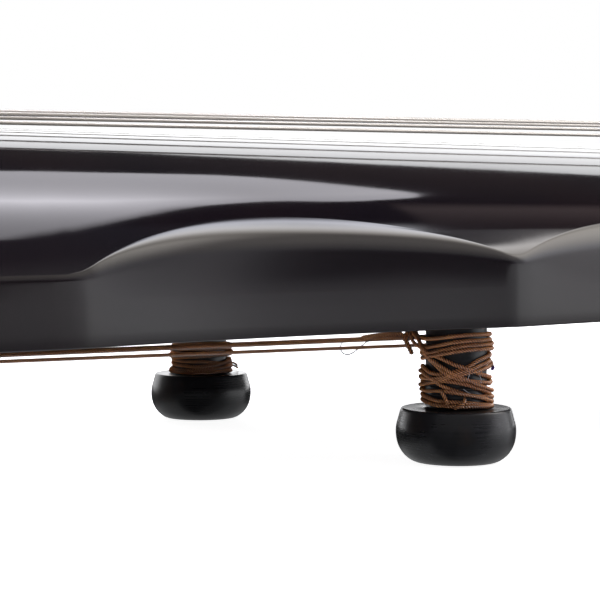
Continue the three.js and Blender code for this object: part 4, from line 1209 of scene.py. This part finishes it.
# Where the near strings end: off the neck, up to the arriving strings and over them.
# Places are along towards the tail, back from the foot's middle, and the height.
nearHooks = {
    5: [(9.0, 5.2, 33.6), (8.9, 8.3, 35.1), (9.0, 9.6, 35.2), (9.1, 10.5, 34.0), (9.0, 10.3, 32.6)],
    6: [(9.6, 6.6, 32.6), (10.0, 8.2, 34.8), (10.1, 9.6, 35.0), (10.2, 10.6, 33.8), (10.1, 10.4, 32.4)],
    7: [(8.6, 5.6, 33.4), (7.9, 8.2, 35.3), (7.8, 9.6, 35.4), (7.8, 10.6, 34.4), (7.8, 10.4, 33.0)],
}
looseEnds = {
    "stub": (0.8, [(25, 8.6, 33.9), (21, 8.5, 34.4), (15, 8.4, 34.7), (12.6, 8.2, 34.6), (11.8, 8.0, 33.8),
                    (10.6, 7.8, 31.4), (9.5, 7.6, 29.1)]),
    "tuckedLow": (0.6, [(8.2, -6.0, 20.2), (7.9, -6.9, 19.0), (7.5, -7.5, 17.7), (7.2, -7.5, 16.3)]),
    "tuckedSlant": (0.5, [(2.7, -9.4, 18.3), (3.3, -10.1, 17.4), (4.6, -9.6, 16.2), (5.9, -8.8, 15.4)]),
}
threads = {
    "loop": (0.2, greyThread, [(26.5, 8.2, 33.0), (29.4, 8.1, 33.6), (31.0, 8.0, 32.8), (31.6, 7.9, 31.6),
                               (30.8, 7.9, 30.2), (29.2, 7.9, 29.7), (27.4, 7.9, 30.3), (25.8, 8.0, 31.4),
                               (24.0, 8.0, 32.6), (22.0, 8.1, 33.6), (19.6, 8.3, 34.4)]),
    "fibreUpper": (0.08, whiteThread, [(2.2, -10.6, 25.6), (2.5, -11.0, 24.5), (2.9, -10.9, 23.4)]),
    "fibreRight": (0.08, whiteThread, [(-0.8, -10.6, 24.6), (-1.3, -11.0, 23.4), (-1.2, -10.9, 22.2)]),
    "fibreLower": (0.08, whiteThread, [(3.9, -10.2, 20.9), (3.0, -10.9, 20.1), (2.0, -10.9, 19.6)]),
    "binding": (0.5, purpleThread, [(-7.2, -6.9, 25.4), (-8.8, -4.9, 25.8), (-9.8, -2.5, 26.2),
                                    (-10.1, -0.2, 26.5), (-9.7, 1.8, 26.7)]),
}
farEnds = {
    "bump": (0.5, [(-9.3, -2.8, 18.6), (-10.4, -2.2, 19.2), (-11.4, -1.4, 18.6), (-10.8, -0.4, 17.4)]),
    "strayUpper": (0.42, [(-9.4, -1.6, 18.0), (-11.2, -1.8, 17.6), (-13.2, -1.6, 17.1), (-15.0, -1.2, 16.2)]),
    "strayLower": (0.4, [(-9.6, -2.6, 16.9), (-11.8, -2.8, 16.5), (-14.2, -2.4, 15.5)]),
}


# The strings' way towards the tail, and the way across it, at each foot
footWays = {-1: ((-0.984, 0.179, 0), (0.174, 0.985, 0)), 1: ((-0.992, -0.124, 0), (-0.124, 0.992, 0))}


def besideFoot(side, places):
    # From places along and across the strings' way to places in the room
    towardsTail, back = (Vector(way) for way in footWays[side])
    middle = Vector((body["headEnd"] - foot["along"], side * foot["across"], 0))
    return [middle + towardsTail * t + back * n + Vector((0, 0, z)) for t, n, z in places]


bridge = {
    "back": 517.5,
    "front": 526.5,
    "topBack": 520.5,
    "half": 68,
    "round": 1.2,
    "steps": 56,
    "rise": 19,
    "flatness": 0.55,
    "sunk": 0.2,
}


def bridgeTopZ(y):
    along = body["bridgeAlong"]
    return mix(crownZ(along), surfaceZ(along, y), bridge["flatness"]) + bridge["rise"]


def stringY(number, spacing="bridgeSpacing"):
    return strings[spacing] * (4 - number)


def arcPoints(x, z, radius, start, end, steps):
    turns = [math.radians(mix(start, end, i / steps)) for i in range(steps + 1)]
    return [(x + radius * math.cos(t), z + radius * math.sin(t)) for t in turns]


def hermite(start, leave, end, arrive, t):
    # A smooth way from start to end, with the slopes that it leaves and arrives with
    return (start * ((1 + 2 * t) * (1 - t) ** 2) + leave * (t * (1 - t) ** 2)
            + end * (t * t * (3 - 2 * t)) + arrive * (t * t * (t - 1)))


def through(keys, step):
    # Heights between the keys, on a smooth curve through them
    points = []
    for i in range(len(keys) - 1):
        (a0, z0), (a1, z1) = keys[i], keys[i + 1]
        before, after = keys[max(0, i - 1)], keys[min(len(keys) - 1, i + 2)]
        span = a1 - a0
        leave, arrive = (z1 - before[1]) / (a1 - before[0]), (after[1] - z0) / (after[0] - a0)
        count = max(1, round(abs(span) / step))
        for t in (j / count for j in range(count)):
            points.append((mix(a0, a1, t), hermite(z0, leave * span, z1, arrive * span, t)))
    points.append(keys[-1])
    return points


laid = {-1: [], 1: []}


def reachOver(turns, ux, uy, z, radius, reach):
    # How far out a cord of this radius has to run to lie on the turns that it crosses
    for qx, qy, qz, qr in turns:
        rise = abs(z - qz)
        gap = (radius + qr) * strings["press"]
        along = ux * qx + uy * qy
        if rise < gap and along > 0:
            room = gap * gap - rise * rise - (qx * qx + qy * qy - along * along)
            if room > 0:
                reach = max(reach, along + math.sqrt(room))
    return reach


def windOnNeck(number, side, keys):
    # Each new turn lies on the neck, or over the turns that are there already
    radius = strings["diameters"][number - 1] / 2 * strings["bareSwell"]
    base = foot["neckRadius"] + strings["neckGap"] + radius
    front, step = strings["fronts"][side], strings["turnStep"]
    spots, own, reaches = [], [], []
    for order, (degrees, z) in enumerate(through(keys, step)):
        turn = math.radians(front + degrees)
        ux, uy = math.cos(turn), math.sin(turn)
        earlier = laid[side] + own[:max(0, order - strings["ownTurns"])]
        reach = min(reachOver(earlier, ux, uy, z, radius, base), base + strings["pileHeight"])
        spots.append((ux, uy, z))
        reaches.append(reach)
        own.append((ux * reach, uy * reach, z, radius))
    # A cord that crosses another stands off the neck on both sides of it
    steepness, reachOfDrape = strings["drape"]
    arc = math.radians(step) * base
    footX, footY = body["headEnd"] - foot["along"], side * foot["across"]
    wound = []
    for i, (ux, uy, z) in enumerate(spots):
        window = range(max(0, i - reachOfDrape), min(len(spots), i + reachOfDrape + 1))
        reach = max(reaches[k] - steepness * ((i - k) * arc) ** 2 for k in window)
        laid[side].append((ux * reach, uy * reach, z, radius))
        wound.append(Vector((footX + ux * reach, footY + uy * reach, z)))
    return wound


def resample(points, step):
    # Even points on a smooth curve through the given ones, with long stretches kept straight
    dense, last = [], len(points) - 1
    for i in range(last):
        p0, p1, p2, p3 = (points[max(0, min(last, i + k))] for k in (-1, 0, 1, 2))
        span = p2 - p1
        length = span.length
        if length < 1e-6:
            continue
        leave = arrive = span
        if length <= 12 and i:
            leave = (p2 - p0) * (length / max(1e-6, (p1 - p0).length + length))
        if length <= 12 and i < last - 1:
            arrive = (p3 - p1) * (length / max(1e-6, (p3 - p2).length + length))
        count = max(1, math.ceil(length / step * 1.5))
        dense += [hermite(p1, leave, p2, arrive, j / count) for j in range(count)]
    dense.append(points[-1])
    even, left = [dense[0]], step
    for a, b in zip(dense, dense[1:]):
        length = (b - a).length
        while left <= length:
            even.append(a.lerp(b, left / length))
            a = even[-1]
            length = (b - a).length
            left = step
        left -= length
    return even + [dense[-1]]


def sectionCurve(name, radius, plies, depth, sides):
    data = bpy.data.curves.new(name, "CURVE")
    data.dimensions = "2D"
    line = data.splines.new("POLY")
    line.points.add(sides - 1)
    line.use_cyclic_u = True
    for i in range(sides):
        turn = 2 * math.pi * i / sides
        reach = radius * (1 - depth * (0.5 - 0.5 * math.cos(plies * turn)))
        line.points[i].co = (reach * math.cos(turn) * mm, reach * math.sin(turn) * mm, 0, 1)
    section = bpy.data.objects.new(name, data)
    scene.collection.objects.link(section)
    return section


def cordMesh(name, points, radius, plies=0, pitch=1, step=1.2, sides=10):
    # A curve with a section of plies, turned as it goes, made into a mesh
    deselectAll()
    even = resample(points, step)
    section = sectionCurve(name + "Section", radius, plies, strings["plyDepth"] if plies else 0, sides)
    data = bpy.data.curves.new(name, "CURVE")
    data.dimensions = "3D"
    data.twist_mode = "MINIMUM"
    data.bevel_mode = "OBJECT"
    data.bevel_object = section
    data.use_fill_caps = True
    line = data.splines.new("POLY")
    line.points.add(len(even) - 1)
    line.points.foreach_set("co", [value for p in even for value in (p.x * mm, p.y * mm, p.z * mm, 1)])
    if plies:
        line.points.foreach_set("tilt", [2 * math.pi * i * step / pitch for i in range(len(even))])
    for i, size in ((0, 0.45), (1, 0.8), (len(even) - 2, 0.8), (len(even) - 1, 0.45)):
        line.points[i].radius = size
    cord = bpy.data.objects.new(name, data)
    scene.collection.objects.link(cord)
    activate(cord)
    bpy.ops.object.convert(target="MESH")
    cord = bpy.context.object
    bpy.data.objects.remove(section)
    # Each ring holds the section's points in order, so the grooves between the plies are known
    # The materials paint shade in these grooves and highlights on the ply tops
    grooves = cord.data.attributes.new("shadedGroove", "FLOAT", "POINT")
    pattern = [0.5 - 0.5 * math.cos(plies * 2 * math.pi * i / sides) if plies else 0 for i in range(sides)]
    count = len(cord.data.vertices)
    grooves.data.foreach_set("value", (pattern * (count // sides + 1))[:count])
    return cord


def twistedCord(name, points, radius):
    return cordMesh(name, points, radius, strings["plies"], strings["pitch"], strings["ringStep"], 12)


def joinPieces(name, pieces):
    deselectAll()
    for piece in pieces:
        piece.select_set(True)
    bpy.context.view_layer.objects.active = pieces[0]
    bpy.ops.object.join()
    pieces[0].name = name
    return pieces[0]


def makeString(number):
    radius = strings["diameters"][number - 1] / 2
    y, tailY = stringY(number), stringY(number, "tailSpacing")
    off, face = strings["lift"] + radius, tailNut["face"]
    nutBend, restBend, level, bare = (strings[k] for k in ("nutBend", "restBend", "restLevel", "becomesBare"))
    overNut = arcPoints(face + nutBend, tailNutTop(tailY) - nutBend, nutBend + off, 90, 180, 8)
    underRest = arcPoints(face + restBend, level + restBend, restBend + off, 180, 270, 6)
    nut, rest = ([Vector((x, tailY, z)) for x, z in arc] for arc in (overNut, underRest))
    down = nut[-1].x
    speaking = [Vector((x, y, bridgeTopZ(y) + off + rise)) for x, rise in strings["overBridge"]]
    speaking += nut + [Vector((down, tailY, bare))]
    side = 1 if number < 5 else -1
    wound = windOnNeck(number, side, (farTurns if side == 1 else nearTurns)[number])
    wound += besideFoot(side, nearHooks.get(number, []))
    under = [Vector((down, tailY, bare + 1)), Vector((down, tailY, bare - 20))] + rest
    under += [Vector((strings["underTail"], tailY, level - off))] + wound
    smoothPart = cordMesh("speaking", speaking, radius * strings["speakingShare"], step=2.5)
    barePart = twistedCord("twisted", under, radius * strings["bareSwell"])
    piece = joinPieces(f"string{number}", [smoothPart, barePart])
    dress(piece, silk, 60)
    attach(piece, "body")
    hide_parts(f"string_{number}")


for number in (5, 6, 7, 4, 3, 2, 1):
    makeString(number)
print("strings laid")

for (label, side), ends in zip(sides.items(), (looseEnds, farEnds)):
    cords = [twistedCord(name, besideFoot(side, places), radius) for name, (radius, places) in ends.items()]
    piece = joinPieces("looseEnds." + label, cords)
    dress(piece, silk, 60)
    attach(piece, "body")
for name, (radius, material, places) in threads.items():
    piece = cordMesh("thread." + name, besideFoot(-1, places), radius, plies=2, pitch=1.2, step=0.3, sides=8)
    dress(piece, material, 60)
    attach(piece, "body")
print("loose ends tucked in")

flyKnot = {
    "x": 523.5,
    "above": 2.3,
    "length": 6.4,
    "radius": 1.15,
    "cord": 0.62,
    "turns": 4,
    "turnSteps": 14,
    "waist": 0.55,
    # The knot's tail from the knot's middle, and where it meets the bridge
    "tail": ((-2.6, -0.9), (-4, -1.5)),
    "tailMeets": (517.6, 0.95),
    "tailCord": 0.6,
}
pegCord = {
    "radius": 1.05,
    "pitch": 4.6,
    "hug": 527.9,
    # Up through the peg, out of the strip and over to the bridge, and round the knot behind it
    "inPeg": (7, 30, 46),
    "outOfStrip": ((0, -1), (0.4, 0.8)),
    "toBridge": ((0.15, 0, 2.2), (0.75, 0.55, 0)),
    "alongBridge": ((0, -1.1), (-0.4, 0.9)),
    "overKnot": ((-2.2, 1.2), (-4.6, 1.5)),
    "knot": 1.35,
    "knotWidth": 0.62,
    "knotHeight": 1.6,
    "knotLevel": 5.1,
    "knotCord": 0.85,
    "knotSteps": 72,
}
stripTops = {"edges": (526.8, 548.8), "rise": 3}


def headZ(x, y):
    return surfaceZ(body["headEnd"] - x, y)


def stripTop(y):
    return max(headZ(x, y) for x in stripTops["edges"]) + stripTops["rise"]


def helix(x, y, z):
    steps, points = flyKnot["turns"] * flyKnot["turnSteps"], []
    for share in (i / steps for i in range(steps + 1)):
        swell = flyKnot["radius"] * mix(flyKnot["waist"], 1, math.sin(math.pi * share))
        turn = 2 * math.pi * flyKnot["turns"] * share
        points.append(Vector((x + flyKnot["length"] * (0.5 - share), y + swell * math.cos(turn),
                              z + swell * math.sin(turn))))
    return points


def makeHeadCords(number):
    # The string's end is wound into a knot, and the peg cord's loop catches it behind the bridge
    y = stringY(number)
    crest = bridgeTopZ(y)
    x, z = flyKnot["x"], crest + flyKnot["above"]
    silkKnot = cordMesh("knot", helix(x, y, z), flyKnot["cord"], plies=3, pitch=1.6, step=0.35, sides=9)
    meets, rise = flyKnot["tailMeets"]
    end = [Vector((x + back, y, z + down)) for back, down in flyKnot["tail"]]
    end.append(Vector((meets, y, crest + rise)))
    tail = cordMesh("knotTail", end, flyKnot["tailCord"], plies=3, pitch=1.8, step=0.35, sides=9)
    piece = joinPieces(f"flyKnot{number}", [silkKnot, tail])
    dress(piece, silk, 60)
    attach(piece, "body")
    x, hug, top = pegPool["x"], pegCord["hug"], stripTop(y)
    way = [(x, level) for level in pegCord["inPeg"]]
    way += [(x - back, top + rise) for back, rise in pegCord["outOfStrip"]]
    way += [(mix(x, hug, share), mix(top, crest, climb) + rise) for share, climb, rise in pegCord["toBridge"]]
    way += [(hug + back, crest + rise) for back, rise in pegCord["alongBridge"]]
    way += [(hug + back, z + rise) for back, rise in pegCord["overKnot"]]
    cord = cordMesh("pegCord", [Vector((a, y, b)) for a, b in way], pegCord["radius"], plies=2,
                    pitch=pegCord["pitch"], step=0.55, sides=12)
    size, wide, high = pegCord["knot"] / 3, pegCord["knotWidth"], pegCord["knotHeight"]
    ball = []
    for t in (2 * math.pi * i / pegCord["knotSteps"] for i in range(pegCord["knotSteps"] + 1)):
        ball.append(Vector((x + size * (math.sin(t) + 2 * math.sin(2 * t)) * wide,
                            y + size * (math.cos(t) - 2 * math.cos(2 * t)) * wide,
                            pegCord["knotLevel"] - size * math.sin(3 * t) * high)))
    knotted = cordMesh("cordKnot", ball, pegCord["knotCord"], plies=2, pitch=3, step=0.4, sides=10)
    piece = joinPieces(f"pegCord{number}", [cord, knotted])
    dress(piece, cordThread, 60)
    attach(piece, "body")
    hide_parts(f"peg_cord_{number}")


def skinRows(name, rows, material, angle):
    # A closed piece from rings of points
    piece = wrapGrid(name, rows)
    editPiece(piece, mergeDoubles, facesOut)
    dress(piece, material, angle)
    return piece


# Fluted body, round neck and a plain collar that turns against the peg board
peg = {
    "radius": 8,
    "low": 3,
    "high": 46.2,
    "flutes": 8,
    "fluteShape": 0.6,
    "around": 96,
    # The pocket for the cord's knot, then the outside, then the bore at the top
    "inner": [(0.001, 4), (3.4, 4), (3.6, 3.8), (3.6, 0.3), (3.9, 0)],
    "outer": [
        (0, 0.66, 0), (0.015, 0.74, 0.01), (0.03, 0.78, 0.03), (0.07, 0.83, 0.055), (0.12, 0.87, 0.07),
        (0.2, 0.92, 0.078), (0.3, 0.96, 0.08), (0.42, 0.98, 0.08), (0.5, 0.97, 0.075), (0.58, 0.93, 0.065),
        (0.66, 0.88, 0.045), (0.70, 0.80, 0.02), (0.735, 0.72, 0), (0.76, 0.695, 0), (0.79, 0.7, 0),
        (0.805, 0.78, 0), (0.82, 0.93, 0), (0.835, 0.975, 0), (0.86, 0.98, 0), (0.985, 0.98, 0), (1, 0.95, 0),
    ],
    "bore": [(2.3, 0), (1.9, -0.3), (1.9, -5), (0.001, -5)],
}


def makePeg(number):
    centreX, centreY = pegPool["x"], stringY(number)
    low, high, radius = peg["low"], peg["high"], peg["radius"]
    profile = [(reach, low + rise, 0) for reach, rise in peg["inner"]]
    profile += [(radius * reach, mix(low, high, share), radius * cut) for share, reach, cut in peg["outer"]]
    profile += [(reach, high + rise, 0) for reach, rise in peg["bore"]]
    turns = [2 * math.pi * i / peg["around"] for i in range(peg["around"] + 1)]
    rows = []
    for reach, z, depth in profile:
        row = []
        for turn in turns:
            out = reach - depth * (0.5 - 0.5 * math.cos(peg["flutes"] * turn)) ** peg["fluteShape"]
            row.append((centreX + out * math.cos(turn), centreY + out * math.sin(turn), z))
        rows.append(row)
    piece = skinRows(f"tuningPeg{number}", rows, pegWood, 40)
    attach(piece, f"peg_{number}")
    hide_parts(f"tuning_peg_{number}")


guard = {
    "y": 76.5,
    "length": 32,
    "thickness": 9,
    "inset": 1.8,
    "corner": 2.2,
    "cornerSteps": 8,
    "ease": 0.8,
    "rows": 40,
    "profile": [(0, 0), (0.08, 0), (0.2, 0.55), (0.45, 1), (0.75, 0.55), (1, 0)],
}


def roundedRing(halfX, halfY, corner, steps):
    ring = []
    for quadrant, (sx, sy) in enumerate(((1, 1), (-1, 1), (-1, -1), (1, -1))):
        for turn in (quarter * (quadrant + i / steps) for i in range(steps + 1)):
            ring.append((sx * (halfX - corner) + corner * math.cos(turn),
                         sy * (halfY - corner) + corner * math.sin(turn)))
    return ring + ring[:1]


def guardInset(share):
    marks = guard["profile"]
    (a, low), (b, high) = next(pair for pair in zip(marks, marks[1:]) if share <= pair[1][0])
    return guard["inset"] * mix(low, high, smooth((share - a) / (b - a)) if high != low else 0)


def makeGuard(label, side):
    top, soft = body["underside"], guard["ease"]
    middle = (pegPool["x"], side * guard["y"])
    rows = []
    for share in (i / guard["rows"] for i in range(guard["rows"] + 1)):
        ease = soft * max(0.0, 1 - share * top / soft) ** 2
        inset = guardInset(share)
        ring = roundedRing(guard["length"] / 2 - inset - ease, guard["thickness"] / 2 - inset / 2 - ease,
                           guard["corner"], guard["cornerSteps"])
        rows.append([(middle[0] + a, middle[1] + b, share * top) for a, b in ring])
    rows = [[(*middle, 0.0)] * len(ring)] + rows + [[(*middle, top)] * len(ring)]
    piece = skinRows("pegGuard." + label, rows, hardwood, 40)
    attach(piece, "body")
    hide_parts("peg_guard_" + label)


def makeBridge():
    back, front, topBack, bend = bridge["back"], bridge["front"], bridge["topBack"], bridge["round"]
    turns = [quarter * i / 3 for i in range(4)]
    rows = []
    for i in range(bridge["steps"] + 1):
        y = mix(-bridge["half"], bridge["half"], i / bridge["steps"])
        top = bridgeTopZ(y)
        backEnd, frontEnd = (back, headZ(back, y) - bridge["sunk"]), (front, headZ(front, y) - bridge["sunk"])
        section = [backEnd, (mix(back, topBack, 0.5), mix(headZ(back, y), top, 0.5))]
        section += [(topBack + bend - bend * math.cos(t), top - bend + bend * math.sin(t)) for t in turns]
        section += [(front - bend + bend * math.sin(t), top - bend + bend * math.cos(t)) for t in turns]
        section += [(front, mix(headZ(front, y), top, 0.5)), frontEnd, backEnd]
        rows.append([(x, y, z) for x, z in section])
    ends = []
    for row in (rows[0], rows[-1]):
        middle = tuple(sum(point[k] for point in row[:-1]) / (len(row) - 1) for k in range(3))
        ends.append([middle] * len(row))
    piece = skinRows("bridge", [ends[0]] + rows + [ends[1]], hardwoodAcross, 35)
    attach(piece, "body")
    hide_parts("bridge")


hui = {
    "inset": 22,
    "outermost": (57, 19.5),
    "shares": [1 / 8, 1 / 6, 1 / 5, 1 / 4, 1 / 3, 2 / 5, 1 / 2, 3 / 5, 2 / 3, 3 / 4, 4 / 5, 5 / 6, 7 / 8],
    "radii": {6: 5.5, 4: 4.6, 5: 4.6, 7: 4.6, 8: 4.6},
    "small": 3.8,
    "around": 48,
    "dome": [(0.0, 0.1), (0.35, 0.1), (0.7, 0.095), (0.9, 0.08), (0.97, 0.05), (1.0, 0.0), (1.0, -0.9),
             (0.0, -0.9)],
}


def makeHui(number):
    share = hui["shares"][number]
    radius = hui["radii"].get(number, hui["small"])
    along = mix(body["bridgeAlong"], body["length"], share)
    y = min(mix(mix(*hui["outermost"], share), envelope(along), 0.5), halfWidth(along) - hui["inset"])
    turns = [2 * math.pi * i / hui["around"] for i in range(hui["around"] + 1)]
    rows = []
    for reach, rise in hui["dome"]:
        row = []
        for turn in turns:
            place, across = along + radius * reach * math.cos(turn), y + radius * reach * math.sin(turn)
            row.append((body["headEnd"] - place, across, surfaceZ(place, across) + rise))
        rows.append(row)
    piece = skinRows(f"hui{number + 1}", rows, shell, 40)
    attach(piece, "body")
    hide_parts(f"hui_{number + 1}")


for number in range(1, 8):
    makeHeadCords(number)
    makePeg(number)
print("pegs and their cords made")
for label, side in sides.items():
    makeGuard(label, side)
makeBridge()
for number in range(len(hui["shares"])):
    makeHui(number)
print("guards, bridge and hui made")
